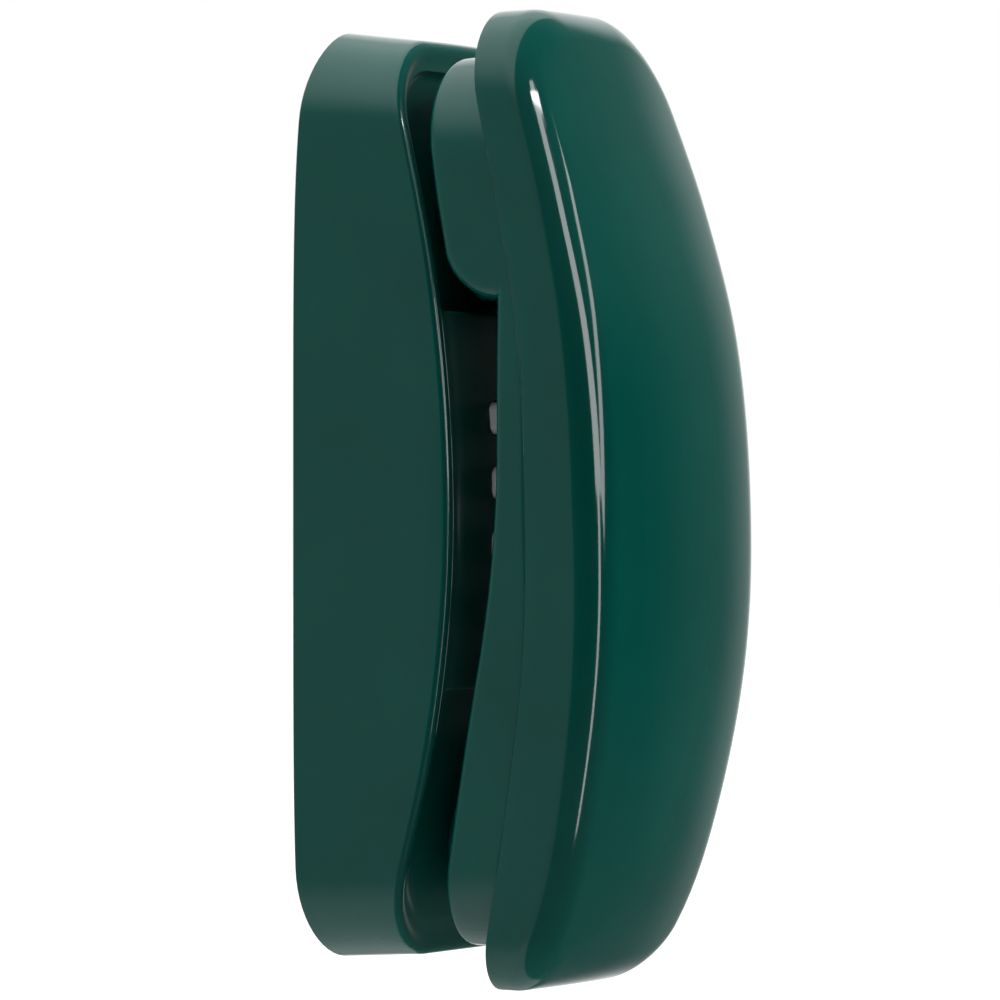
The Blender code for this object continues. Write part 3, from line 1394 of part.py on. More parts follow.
def build_handset():
    carrier = bpy.data.objects.new("handset_carrier", None)
    depth, z = ear_tip_centre()
    carrier.location = place(0.0, depth, z)
    part.objects.link(carrier)
    before = set(part.objects)
    handset_cover()
    handset_body()
    receiver()
    receiver_seal()
    microphone()
    handset_weight()
    jack("handset_jack", place(0.0, HANDSET_JACK_DEPTH, handset_jack_mouth_z() + GAP),
         Vector((0.0, 0.0, -1.0)), Vector((0.0, 1.0, 0.0)),
         CORD_JACK_HALF_WIDTH, CORD_MOUTH_HALF_WIDTH)
    for name, z in (("handset_screw_upper", UPPER_POST_Z), ("handset_screw_lower", LOWER_POST_Z)):
        screw(name, 0.0, z, handset_screw_seat(z), SCREW_SHANK_LENGTH, 1)
    bpy.context.view_layer.update()
    for made in set(part.objects) - before:
        world = made.matrix_world.copy()
        made.parent = carrier
        made.matrix_world = world


clear_scene()
build_base()
build_handset()
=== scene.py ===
"""Wall telephone in glossy dark green plastic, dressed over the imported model."""

import json
import math

import bmesh
import bpy
from mathutils import Matrix, Vector


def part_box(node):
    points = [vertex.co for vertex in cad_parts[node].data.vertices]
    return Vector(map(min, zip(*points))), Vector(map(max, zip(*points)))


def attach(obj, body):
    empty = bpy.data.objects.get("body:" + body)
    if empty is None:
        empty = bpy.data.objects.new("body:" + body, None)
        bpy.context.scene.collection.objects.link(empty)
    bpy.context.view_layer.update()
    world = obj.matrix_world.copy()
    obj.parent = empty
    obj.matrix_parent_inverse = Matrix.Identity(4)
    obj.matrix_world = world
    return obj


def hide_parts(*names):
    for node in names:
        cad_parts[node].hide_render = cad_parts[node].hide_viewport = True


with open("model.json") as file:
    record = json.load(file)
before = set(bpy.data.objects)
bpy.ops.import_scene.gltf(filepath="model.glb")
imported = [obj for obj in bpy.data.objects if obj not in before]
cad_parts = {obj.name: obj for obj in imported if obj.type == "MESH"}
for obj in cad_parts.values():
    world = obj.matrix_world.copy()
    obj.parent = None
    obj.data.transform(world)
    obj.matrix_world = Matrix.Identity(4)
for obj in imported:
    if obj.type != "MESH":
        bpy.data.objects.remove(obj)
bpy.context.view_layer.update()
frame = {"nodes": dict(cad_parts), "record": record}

bl_info = {
    "name": "Wall telephone",
    "version": (1, 0, 0),
    "blender": (4, 5, 0),
    "location": "View3D > Sidebar > Telephone",
    "description": "Models the shells, keys and finishes of a wall telephone",
    "category": "Object",
}

# Lengths in metres, and shares.

WIDTH = 0.069
GAP = 0.0003
MERGE = 0.000004

BASE_HALF = 0.1042
BASE_CORNERS = (0.0212, 0.0204)
BASE_NARROWING = (0.079, 0.191)
BASE_POWERS = (5.0, 5.0)
BASE_DRAFT = (0.0030, 0.0056)
SIDE_DRAFT = 0.0006
DRAFT_DEPTH = 0.0441
TOP_ARCH = (0.0009, 0.0300)
WALL = 0.0024
WELL_WALL = 0.0030
WELL_TRIM = 0.0033
WELL_FILLET = 0.0030
CAVITY_WALL = 0.0036
CAVITY_EDGE = 0.0008
FLOOR_WALL = 0.0016
BACK_INSET = 0.0005
BACK_ROUND = 0.0003
PLATE_ROOM = 0.0034
CUP_CLEARANCE = 0.0006
BED_DEPTH = 0.0412
BED_TOP_Z = 0.0410
BED_BOTTOM_Z = -0.0430
BED_BELOW_RIM = 0.0006
BED_EDGE = 0.0008
BED_END_ROWS = (-0.0012, -0.0007, -0.0004, -0.0001, 0.0001, 0.0012)
BED_END_CLEAR = 0.0016
# Faces this far behind the rim take the well's damped gloss: painted shade for the recess
WELL_SHADE_BELOW_RIM = 0.0004
FLOOR_STEPS = 54

KEY_HOLE_ENDS = (-0.060, -0.030)
KEY_HOLE_CORNER = 0.0022
PLUNGER_HOLE_ENDS = (-0.045, -0.002)
PLUNGER_HOLE_RADIUS = 0.0037
JACK_HOLE_LOW = -0.120
JACK_HOLE_DEPTH = 0.006
TAB_SLOT_REACH = 0.004
SLIDER_TRAVEL = 0.004
SLIDER_HOLE_IN = 0.006
SLIDER_HOLE_OUT = 0.004

KEY_SIDE_FLANGE = 0.0016
KEY_END_FLANGE = 0.0009
KEY_FLANGE_THICKNESS = 0.0012
KEY_SHOULDER = 0.0030
KEY_CORNER = 0.0020
KEY_EDGE = 0.0006
KEY_RIM = 0.0009
KEY_RISE = 0.0007
SIGN_STAND = 0.00002
SIGN_THICKNESS = 0.00012

HANDSET_LOW = -0.1092
HANDSET_HIGH = 0.1080
HANDSET_CORNERS = (0.0127, 0.0217)
HANDSET_NARROWING = (0.213, 0.199)
HANDSET_POWERS = (2.04, 2.99)
COVER_WALL = 0.0022
FLANGE = 0.0018
OPENING_INSET = 0.0030
COVER_STEPS = 50

SEAM_GAP = 0.00004
BODY_LOW = -0.1000
BODY_HIGH = 0.0980
BODY_CORNERS = (0.0195, 0.0235)
BODY_LIP_INSETS = (0.0040, 0.0035)
BODY_LIP_DEPTH = 0.0016
GRIP_DEPTH = 0.0539
GRIP_LOW_Z = -0.0135
GRIP_BEND = 0.0470
MOUTH_SLOPE = 0.225
STEP_Z = 0.0428
STEP_FOOT = 0.0008
STEP_LIP = 0.0016
STEP_RISE = 0.0003
STEP_FADES = (0.032, 0.025)
EAR_FACE_DEPTH = 0.0422
EAR_SLOPE = 0.212
EAR_CORNER = (0.0100, 0.0115)
EAR_CORNER_START = 0.0225
EAR_CORNER_REACH = 0.0090
EAR_CORNER_BELOW_GRIP = 0.0001
BACK_EDGE = 0.0022
BACK_STEPS = (44, 16)
SCREW_RECESS_RADIUS = 0.0029
SCREW_RECESS_ENDS = (0.006, 0.0014)
BODY_JACK_HOLE_LOW = -0.112
BODY_JACK_HOLE_DEPTH = 0.004

# Each cup: centre of its face as depth and height, slope of that face, radius, length
EAR_CUP = (0.02955, 0.0634, 0.188, 0.0225, 0.0087)
MOUTH_CUP = (0.03025, -0.0735, -0.213, 0.0180, 0.0114)
EAR_CIRCLES = (0.0055, 0.0110)
MOUTH_CIRCLES = (0.0050,)
CUP_EDGE = 0.0030
CUP_WALL = 0.0020
CUP_ROOT = 0.0040
CUP_FLARE = 0.0012
SOUND_HOLE_RADIUS = 0.0011
SOUND_HOLE_ENDS = (0.004, 0.003)
HOLES_IN_FIRST_CIRCLE = 6
TAB_ROOM_LOW = (0.001, 0.0012, 0.002)
TAB_ROOM_HIGH = (0.001, 0.0030, 0.004)

# Contact wires of a jack: start inwards from its mouth and aside from its middle, then the run
WIRE_START = (0.0014, 0.0026)
WIRE_RUN = 0.0078
WIRE_SLOPE = 0.0032
WIRE_ENDS = 0.001
WIRE_MOUTH_BEND = 0.0022
WIRE_BACK_BEND = (0.0030, 0.0006)
WIRE_PITCH = 0.00102
WIRE_RADIUS = 0.00019

# Depth in front of the wall at a few heights, bottom to top
RIM_LINE = ((-0.1085, 0.0210), (-0.0855, 0.0286), (-0.0555, 0.0368), (-0.0205, 0.0415),
            (0.0145, 0.0414), (0.0495, 0.0373), (0.0795, 0.0300), (0.1075, 0.0206))
SEAM_LINE = ((-0.1125, 0.0444), (-0.0955, 0.0488), (-0.0705, 0.0549), (-0.0355, 0.0610),
             (-0.0005, 0.0621), (0.0345, 0.0602), (0.0645, 0.0539), (0.0895, 0.0465),
             (0.1085, 0.0418))
FRONT_LINE = ((-0.1125, 0.0522), (-0.0955, 0.0653), (-0.0705, 0.0744), (-0.0355, 0.0811),
              (-0.0005, 0.0820), (0.0345, 0.0786), (0.0645, 0.0707), (0.0895, 0.0618),
              (0.1085, 0.0547))

KEY_NAMES = ("1", "2", "3", "4", "5", "6", "7", "8", "9", "star", "0", "hash")
KEY_SIGNS = {"star": "*", "hash": "#"}


# Sizes and colours that a user would change

def metres(name, description, default, low, high):
    return bpy.props.FloatProperty(name=name, description=description, default=default,
                                   min=low, max=high, subtype="DISTANCE", unit="LENGTH")


def paint(name, description, default):
    return bpy.props.FloatVectorProperty(name=name, description=description, default=default,
                                         min=0.0, max=1.0, subtype="COLOR")


class TelephoneSizes(bpy.types.PropertyGroup):
    rim_edge: metres(
        "Rim edge", "Radius of the base's rounded rim", 0.0016, 0.0008, 0.0020)
    front_edge: metres(
        "Handset edge", "Radius from the handset's side to its front", 0.0070, 0.0040, 0.0080)
    front_crown: metres(
        "Crown", "How far the handset's front bulges from side to side", 0.0020, 0.0005, 0.0030)
    seam_edge: metres(
        "Seam edge", "Radius of the edges that meet at the handset's seam", 0.00013, 0.0001, 0.0008)
    step_corner: metres(
        "Ear block corner", "Radius of the ear block's lower corners", 0.0040, 0.0020, 0.0120)
    key_dish: metres(
        "Key dish", "Depth of the hollow in a key's face", 0.00025, 0.0, 0.0005)
    sign_height: metres(
        "Digit height", "Height of the digits on the keys", 0.0042, 0.0030, 0.0050)


class TelephoneColours(bpy.types.PropertyGroup):
    shell: paint("Shell", "Green of the base and the handset", (0.0008, 0.058, 0.046))
    key: paint("Keys", "White of the push buttons", (0.80, 0.80, 0.79))
    sign: paint("Digits", "Print on the push buttons", (0.02, 0.02, 0.022))
    plate: paint("Wall plate", "Green of the plate at the back", (0.008, 0.045, 0.038))
    shell_roughness: bpy.props.FloatProperty(
        name="Shell roughness", description="Roughness of the glossy green plastic",
        default=0.08, min=0.02, max=0.6, subtype="FACTOR")


def sizes():
    return bpy.context.scene.telephone_sizes


def colours():
    return bpy.context.scene.telephone_colours


# Depths and outlines of the fine shells

def along(line, z):
    """Depth at height z on a smooth curve through the points of a line."""
    z = min(max(z, line[0][0]), line[-1][0])
    step = next(index for index in range(1, len(line)) if z <= line[index][0]) - 1

    def lean(index):
        if index == 0:
            return 2 * (line[1][1] - line[0][1]) / (line[1][0] - line[0][0]) - lean(1)
        if index == len(line) - 1:
            return 2 * (line[-1][1] - line[-2][1]) / (line[-1][0] - line[-2][0]) - lean(index - 1)
        return (line[index + 1][1] - line[index - 1][1]) / (line[index + 1][0] - line[index - 1][0])

    low, high = line[step], line[step + 1]
    length = high[0] - low[0]
    part = (z - low[0]) / length
    return ((2 * part ** 3 - 3 * part ** 2 + 1) * low[1]
            + (part ** 3 - 2 * part ** 2 + part) * length * lean(step)
            + (3 * part ** 2 - 2 * part ** 3) * high[1]
            + (part ** 3 - part ** 2) * length * lean(step + 1))


def rim_depth(z):
    return along(RIM_LINE, z)


def seam_depth(z):
    return along(SEAM_LINE, z)


def front_depth(x, z):
    half_face = WIDTH / 2 - sizes().front_edge
    return along(FRONT_LINE, z) + sizes().front_crown * (1 - (x / half_face) ** 2)


def slope_depth(z):
    """Back of the handset below the ear block: flat grip, bend and mouth slope."""
    below = GRIP_LOW_Z + GRIP_BEND / 2 - z
    if below <= 0:
        return GRIP_DEPTH
    if below < GRIP_BEND:
        return GRIP_DEPTH - MOUTH_SLOPE * below * below / (2 * GRIP_BEND)
    return GRIP_DEPTH - MOUTH_SLOPE * (below - GRIP_BEND / 2)


def ear_depth(z):
    return EAR_FACE_DEPTH - EAR_SLOPE * (z - STEP_Z)


def ease(share):
    share = min(max(share, 0.0), 1.0)
    return share * share * (3 - 2 * share)


def even(low, high, steps):
    return [low + (high - low) * step / steps for step in range(steps + 1)]


def quarter(steps, start=0.0, end=90.0):
    return [math.radians(angle) for angle in even(start, end, steps)]


class Outline:
    """A rounded oblong seen from the front, as points in order round it.

    It runs up the right side, across the top, down the left side and back along the bottom.
    Its side points' heights can depend on how far the outline is drawn in.
    """

    def __init__(self, low, high, corners, sides, across, half_width=WIDTH / 2, corner_steps=14):
        self.low = low
        self.high = high
        self.corners = corners
        self.sides = sides
        self.across = across
        self.half_width = half_width
        self.corner_steps = corner_steps

    def right(self, inset):
        low_corner, high_corner = self.corners
        points = []
        for turn in quarter(self.corner_steps, -90, 0):
            points.append((self.half_width - low_corner + (low_corner - inset) * math.cos(turn),
                           self.low + low_corner + (low_corner - inset) * math.sin(turn)))
        points.extend((self.half_width - inset, z) for z in self.sides(inset))
        for turn in quarter(self.corner_steps, 0, 90):
            points.append((self.half_width - high_corner + (high_corner - inset) * math.cos(turn),
                           self.high - high_corner + (high_corner - inset) * math.sin(turn)))
        return points

    def ring(self, inset):
        right = self.right(inset)
        top = even(right[-1][0], -right[-1][0], self.across)[1:-1]
        bottom = even(-right[0][0], right[0][0], self.across)[1:-1]
        return (right + [(x, right[-1][1]) for x in top] + [(-x, z) for x, z in reversed(right)]
                + [(x, right[0][1]) for x in bottom])

    def side_count(self):
        return len(self.right(0.0))


def narrowed(points, low, high, shares, powers):
    """The same outline, drawn in towards its bottom and its top by two shares of its width."""
    middle = (low + high) / 2
    result = []
    for x, z in points:
        reach = min(abs(z - middle) / (high - middle), 1.0)
        result.append((x * (1 - shares[z > middle] * reach ** powers[z > middle]), z))
    return result


def blend(first, second, share):
    """Ring between two rings of the same count."""
    return [tuple(a + (b - a) * share for a, b in zip(one, two)) for one, two in zip(first, second)]


# Modelling steps

def rest():
    """Leave edit mode and deselect everything."""
    if bpy.context.mode != "OBJECT":
        bpy.ops.object.mode_set(mode="OBJECT")
    bpy.ops.object.select_all(action="DESELECT")


def pick(*pieces):
    rest()
    for piece in pieces:
        piece.select_set(True)
    bpy.context.view_layer.objects.active = pieces[0]


def start_ring(name, points):
    """A circle whose points take their places on the first ring. It stays in edit mode.

    Each point keeps its number in the ring, also through extrusion, in the layer named order.
    """
    rest()
    bpy.ops.mesh.primitive_circle_add(vertices=len(points), radius=WIDTH / 2)
    made = bpy.context.object
    made.name = name
    made.data.name = name
    bpy.ops.object.mode_set(mode="EDIT")
    bpy.ops.mesh.select_mode(type="VERT")
    mesh = bmesh.from_edit_mesh(made.data)
    order = mesh.verts.layers.int.new("order")
    mesh.verts.ensure_lookup_table()
    for index, vertex in enumerate(mesh.verts):
        vertex[order] = index
        vertex.co = points[index]
    bmesh.update_edit_mesh(made.data)
    bpy.ops.mesh.select_all(action="SELECT")
    return made


def next_ring(made, points):
    """Extrude the selected ring and put each new point in its place."""
    bpy.ops.mesh.extrude_region_move()
    mesh = bmesh.from_edit_mesh(made.data)
    order = mesh.verts.layers.int["order"]
    for vertex in mesh.verts:
        if vertex.select:
            vertex.co = points[vertex[order]]
    bmesh.update_edit_mesh(made.data)


def fill_ring(made, side_count, across, settle):
    """Bridge a ring's right side to its left side, with the new points laid by settle."""
    left = range(side_count + across - 1, 2 * side_count + across - 1)
    bpy.ops.mesh.select_mode(type="EDGE")
    mesh = bmesh.from_edit_mesh(made.data)
    order = mesh.verts.layers.int["order"]
    for edge in mesh.edges:
        if edge.select:
            ends = [vertex[order] for vertex in edge.verts]
            together = all(end < side_count for end in ends) or all(end in left for end in ends)
            edge.select = together
    mesh.select_flush_mode()
    bmesh.update_edit_mesh(made.data)
    known = {vertex.co.copy().freeze() for vertex in mesh.verts}
    bpy.ops.mesh.bridge_edge_loops(type="SINGLE", number_cuts=across - 1,
                                   interpolation="LINEAR", smoothness=0.0)
    mesh = bmesh.from_edit_mesh(made.data)
    for vertex in mesh.verts:
        if vertex.co.copy().freeze() not in known:
            vertex.co = settle(vertex.co)
    bmesh.update_edit_mesh(made.data)
    bpy.ops.mesh.select_mode(type="VERT")
    bpy.ops.mesh.select_all(action="SELECT")
    bpy.ops.mesh.remove_doubles(threshold=MERGE)


def fill_open_ring(made, side_count, across, settle):
    """Fill the one ring that is still open: the ring the form started from."""
    bpy.ops.mesh.select_all(action="DESELECT")
    bpy.ops.mesh.select_mode(type="EDGE")
    mesh = bmesh.from_edit_mesh(made.data)
    for edge in mesh.edges:
        edge.select = edge.is_boundary
    mesh.select_flush_mode()
    bmesh.update_edit_mesh(made.data)
    fill_ring(made, side_count, across, settle)


def close_form(made, angle):
    """Merge what meets, turn all faces outwards and shade the form smooth up to its edges."""
    if bpy.context.mode != "EDIT_MESH":
        pick(made)
        bpy.ops.object.mode_set(mode="EDIT")
    bpy.ops.mesh.select_all(action="SELECT")
    bpy.ops.mesh.remove_doubles(threshold=MERGE)
    bpy.ops.mesh.normals_make_consistent(inside=False)
    bpy.ops.object.mode_set(mode="OBJECT")
    pick(made)
    bpy.ops.object.shade_smooth_by_angle(angle=math.radians(angle))
    rest()


def settle_object(made):
    """Put the piece's place, turn and size in its mesh."""
    pick(made)
    bpy.ops.object.transform_apply(location=True, rotation=True, scale=True)
    rest()


def cut_away(made, tools):
    """Cut tools out of a piece, one after another, and remove them."""
    for tool in tools:
        pick(made)
        step = made.modifiers.new("cut", "BOOLEAN")
        step.operation = "DIFFERENCE"
        step.solver = "EXACT"
        step.object = tool
        bpy.ops.object.modifier_apply(modifier=step.name)
        bpy.data.objects.remove(tool, do_unlink=True)


def turned_form(name, profile, centre, lean, steps=96):
    """A profile of (radius, height) spun round an axis that points to the wall and leans."""
    rest()
    bpy.ops.mesh.primitive_circle_add(vertices=3, radius=WALL)
    made = bpy.context.object
    made.name = name
    made.data.name = name
    bpy.ops.object.mode_set(mode="EDIT")
    mesh = bmesh.from_edit_mesh(made.data)
    bmesh.ops.delete(mesh, geom=mesh.verts[:], context="VERTS")
    line = [mesh.verts.new((radius, 0.0, height)) for radius, height in profile]
    for first, second in zip(line, line[1:]):
        mesh.edges.new((first, second))
    bmesh.update_edit_mesh(made.data)
    bpy.ops.mesh.select_all(action="SELECT")
    bpy.ops.mesh.spin(steps=steps, angle=math.tau, center=(0.0, 0.0, 0.0), axis=(0.0, 0.0, 1.0))
    bpy.ops.mesh.select_all(action="SELECT")
    bpy.ops.mesh.remove_doubles(threshold=MERGE)
    bpy.ops.mesh.normals_make_consistent(inside=False)
    bpy.ops.object.mode_set(mode="OBJECT")
    made.location = centre
    made.rotation_euler = (math.radians(-90) - lean, 0.0, 0.0)
    settle_object(made)
    return made


def block(name, low, high):
    """A box from its lowest to its highest corner."""
    rest()
    low = Vector(low)
    high = Vector(high)
    bpy.ops.mesh.primitive_cube_add(size=1.0, location=(low + high) / 2)
    made = bpy.context.object
    made.name = name
    made.scale = high - low
    settle_object(made)
    return made


def copied(first, name, shift):
    """A copy of a piece with its own mesh, moved by shift."""
    pick(first)
    bpy.ops.object.duplicate(linked=False)
    made = bpy.context.object
    made.name = name
    made.data.name = name
    bpy.ops.transform.translate(value=shift)
    settle_object(made)
    return made


def rod(name, start, end, radius, sides=48):
    """A round bar from start to end."""
    rest()
    start = Vector(start)
    end = Vector(end)
    way = end - start
    bpy.ops.mesh.primitive_cylinder_add(vertices=sides, radius=radius, depth=way.length,
                                        location=(start + end) / 2,
                                        rotation=way.to_track_quat("Z", "Y").to_euler())
    made = bpy.context.object
    made.name = name
    settle_object(made)
    return made


# Finishes

PATTERN_REACH = (0.3, 0.7)
TINT_REACH = (0.35, 0.65)
CLOUD_SCALE = 28.0
GLOSS_SCALE = 190.0
RIPPLE_SCALE = 420.0
RIPPLE_HEIGHT = 0.00002
METAL_GRAIN_SCALE = 500.0
METAL_GRAIN_HEIGHT = 0.00001


def new_material(name):
    """A material, with its nodes, its links and its shader."""
    made = bpy.data.materials.new(name)
    made.use_nodes = True
    nodes = made.node_tree.nodes
    return made, nodes, made.node_tree.links, nodes["Principled BSDF"]


def noise(nodes, links, source, scale, detail=3.0):
    field = nodes.new("ShaderNodeTexNoise")
    field.inputs["Scale"].default_value = scale
    field.inputs["Detail"].default_value = detail
    links.new(source.outputs["Object"], field.inputs["Vector"])
    return field


def spread_value(nodes, links, source, low, high, socket):
    """Map a pattern to values from low to high on a shader's socket."""
    step = nodes.new("ShaderNodeMapRange")
    step.inputs["From Min"].default_value = PATTERN_REACH[0]
    step.inputs["From Max"].default_value = PATTERN_REACH[1]
    step.inputs["To Min"].default_value = low
    step.inputs["To Max"].default_value = high
    links.new(source.outputs["Fac"], step.inputs["Value"])
    links.new(step.outputs["Result"], socket)


def tinted(nodes, links, source, first, second, socket):
    """Mix two colours by a pattern."""
    ramp = nodes.new("ShaderNodeValToRGB")
    for element, spot, colour in zip(ramp.color_ramp.elements, TINT_REACH, (first, second)):
        element.position = spot
        element.color = (*colour, 1.0)
    links.new(source.outputs["Fac"], ramp.inputs["Fac"])
    links.new(ramp.outputs["Color"], socket)


def bumped(nodes, links, source, shader, strength, distance):
    bump = nodes.new("ShaderNodeBump")
    bump.inputs["Strength"].default_value = strength
    bump.inputs["Distance"].default_value = distance
    links.new(source.outputs["Fac"], bump.inputs["Height"])
    links.new(bump.outputs["Normal"], shader.inputs["Normal"])


def shaded(colour, share):
    return tuple(channel * share for channel in colour)


def moulded_plastic(name, colour, roughness, ior=1.46, ripple=0.06, cloud=0.06):
    """Injection-moulded plastic: faint flow clouds, a slightly uneven gloss and a fine ripple."""
    made, nodes, links, shader = new_material(name)
    place = nodes.new("ShaderNodeTexCoord")
    clouds = noise(nodes, links, place, CLOUD_SCALE)
    tinted(nodes, links, clouds, shaded(colour, 1 - cloud), shaded(colour, 1 + cloud),
           shader.inputs["Base Color"])
    fine = noise(nodes, links, place, GLOSS_SCALE)
    spread_value(nodes, links, fine, roughness * 0.85, roughness * 1.2, shader.inputs["Roughness"])
    swell = noise(nodes, links, place, RIPPLE_SCALE, 2.0)
    bumped(nodes, links, swell, shader, ripple, RIPPLE_HEIGHT)
    shader.inputs["IOR"].default_value = ior
    return made


def grained(name, colour, roughness, scale, distance, metallic=0.0, cloud=0.12):
    """A matte or metal finish whose grain is cut into the surface."""
    made, nodes, links, shader = new_material(name)
    place = nodes.new("ShaderNodeTexCoord")
    grain = noise(nodes, links, place, scale, 6.0)
    tinted(nodes, links, grain, shaded(colour, 1 - cloud), shaded(colour, 1 + cloud),
           shader.inputs["Base Color"])
    spread_value(nodes, links, grain, roughness * 0.8, roughness * 1.2, shader.inputs["Roughness"])
    bumped(nodes, links, grain, shader, 0.4, distance)
    shader.inputs["Metallic"].default_value = metallic
    return made


def metal(name, colour, roughness):
    return grained(name, colour, roughness, METAL_GRAIN_SCALE, METAL_GRAIN_HEIGHT,
                   metallic=1.0, cloud=0.05)


def laminate():
    """Circuit board: brown resin with faint crossing fibres."""
    made, nodes, links, shader = new_material("board_laminate_fine")
    place = nodes.new("ShaderNodeTexCoord")
    fibres = nodes.new("ShaderNodeTexWave")
    fibres.inputs["Scale"].default_value = 900.0
    fibres.inputs["Distortion"].default_value = 3.0
    links.new(place.outputs["Object"], fibres.inputs["Vector"])
    tinted(nodes, links, fibres, (0.24, 0.15, 0.05), (0.34, 0.23, 0.09),
           shader.inputs["Base Color"])
    bumped(nodes, links, fibres, shader, 0.2, 0.00003)
    shader.inputs["Roughness"].default_value = 0.5
    return made


def finish(name):
    """The finish of that name, made once."""
    found = bpy.data.materials.get(name + "_fine")
    if found:
        return found
    look = colours()
    if name == "shell":
        return moulded_plastic("shell_fine", look.shell, look.shell_roughness)
    # The well: the shell's green with a low IOR and a rough gloss that damps its reflections,
    # painted shade for the recess inside the rim
    if name == "well":
        return moulded_plastic("well_fine", look.shell, 0.34, ior=1.22, ripple=0.2)
    if name == "plate":
        return moulded_plastic("plate_fine", look.plate, 0.32, ripple=0.3)
    if name == "key":
        return moulded_plastic("key_fine", look.key, 0.28, cloud=0.03, ripple=0.1)
    if name == "sign":
        return grained("sign_fine", look.sign, 0.45, 900.0, 0.00001)
    if name == "black":
        return moulded_plastic("black_fine", (0.014, 0.014, 0.015), 0.42, ripple=0.5, cloud=0.15)
    if name == "rubber":
        return grained("rubber_fine", (0.09, 0.09, 0.09), 0.8, 700.0, 0.00005)
    if name == "foam":
        return grained("foam_fine", (0.035, 0.035, 0.035), 0.95, 1800.0, 0.0003, cloud=0.5)
    if name == "steel":
        return metal("steel_fine", (0.56, 0.56, 0.57), 0.28)
    if name == "contact":
        return metal("contact_fine", (0.80, 0.58, 0.24), 0.24)
    if name == "board_laminate":
        return laminate()
    raise ValueError("no finish named " + name)


def dress(made, name):
    made.data.materials.clear()
    made.data.materials.append(finish(name))


# Pieces of the base

def base_spot(x, depth, z):
    """A point of the base moved in by its moulding draft."""
    reach = depth / DRAFT_DEPTH
    end_share = BASE_DRAFT[z > 0] / BASE_HALF * abs(z / BASE_HALF) ** 3
    return (x * (1 - SIDE_DRAFT / (WIDTH / 2) * reach), -depth, z * (1 - end_share * reach))


def arched(x, z):
    """Height of an outer point: the base's top edge rises slightly towards its middle."""
    rise, reach = TOP_ARCH
    return z + rise * max(0.0, 1 - (x / reach) ** 2) * max(z / BASE_HALF, 0.0) ** 9


def floor_depth(z):
    """Front of the base inside its rim: ear well, keypad bed and mouth well."""
    if BED_BOTTOM_Z < z < BED_TOP_Z:
        return min(BED_DEPTH, rim_depth(z) - BED_BELOW_RIM)
    depth, centre_z, slope = (EAR_CUP if z > 0 else MOUTH_CUP)[:3]
    return depth - (z - centre_z) * slope - CUP_CLEARANCE


def floor_rows():
    """Heights of the floor's rows, with close ones where the bed's ends drop to the wells."""
    low = BASE_CORNERS[0] - BASE_HALF
    high = BASE_HALF - BASE_CORNERS[1]
    rows = {z for z in even(low, high, FLOOR_STEPS)[1:-1]
            if min(abs(z - BED_TOP_Z), abs(z - BED_BOTTOM_Z)) > BED_END_CLEAR}
    for z, way in ((BED_TOP_Z, 1), (BED_BOTTOM_Z, -1)):
        rows |= {z + way * step for step in BED_END_ROWS}
    return sorted(rows)


def stepped(z):
    """Floor depth with the bed's two end edges rounded over."""
    for end, way in ((BED_TOP_Z, 1), (BED_BOTTOM_Z, -1)):
        before = (end - z) * way
        if 0 < before < BED_EDGE:
            return floor_depth(z) - BED_EDGE + math.sqrt(BED_EDGE ** 2 - (BED_EDGE - before) ** 2)
    return floor_depth(z)


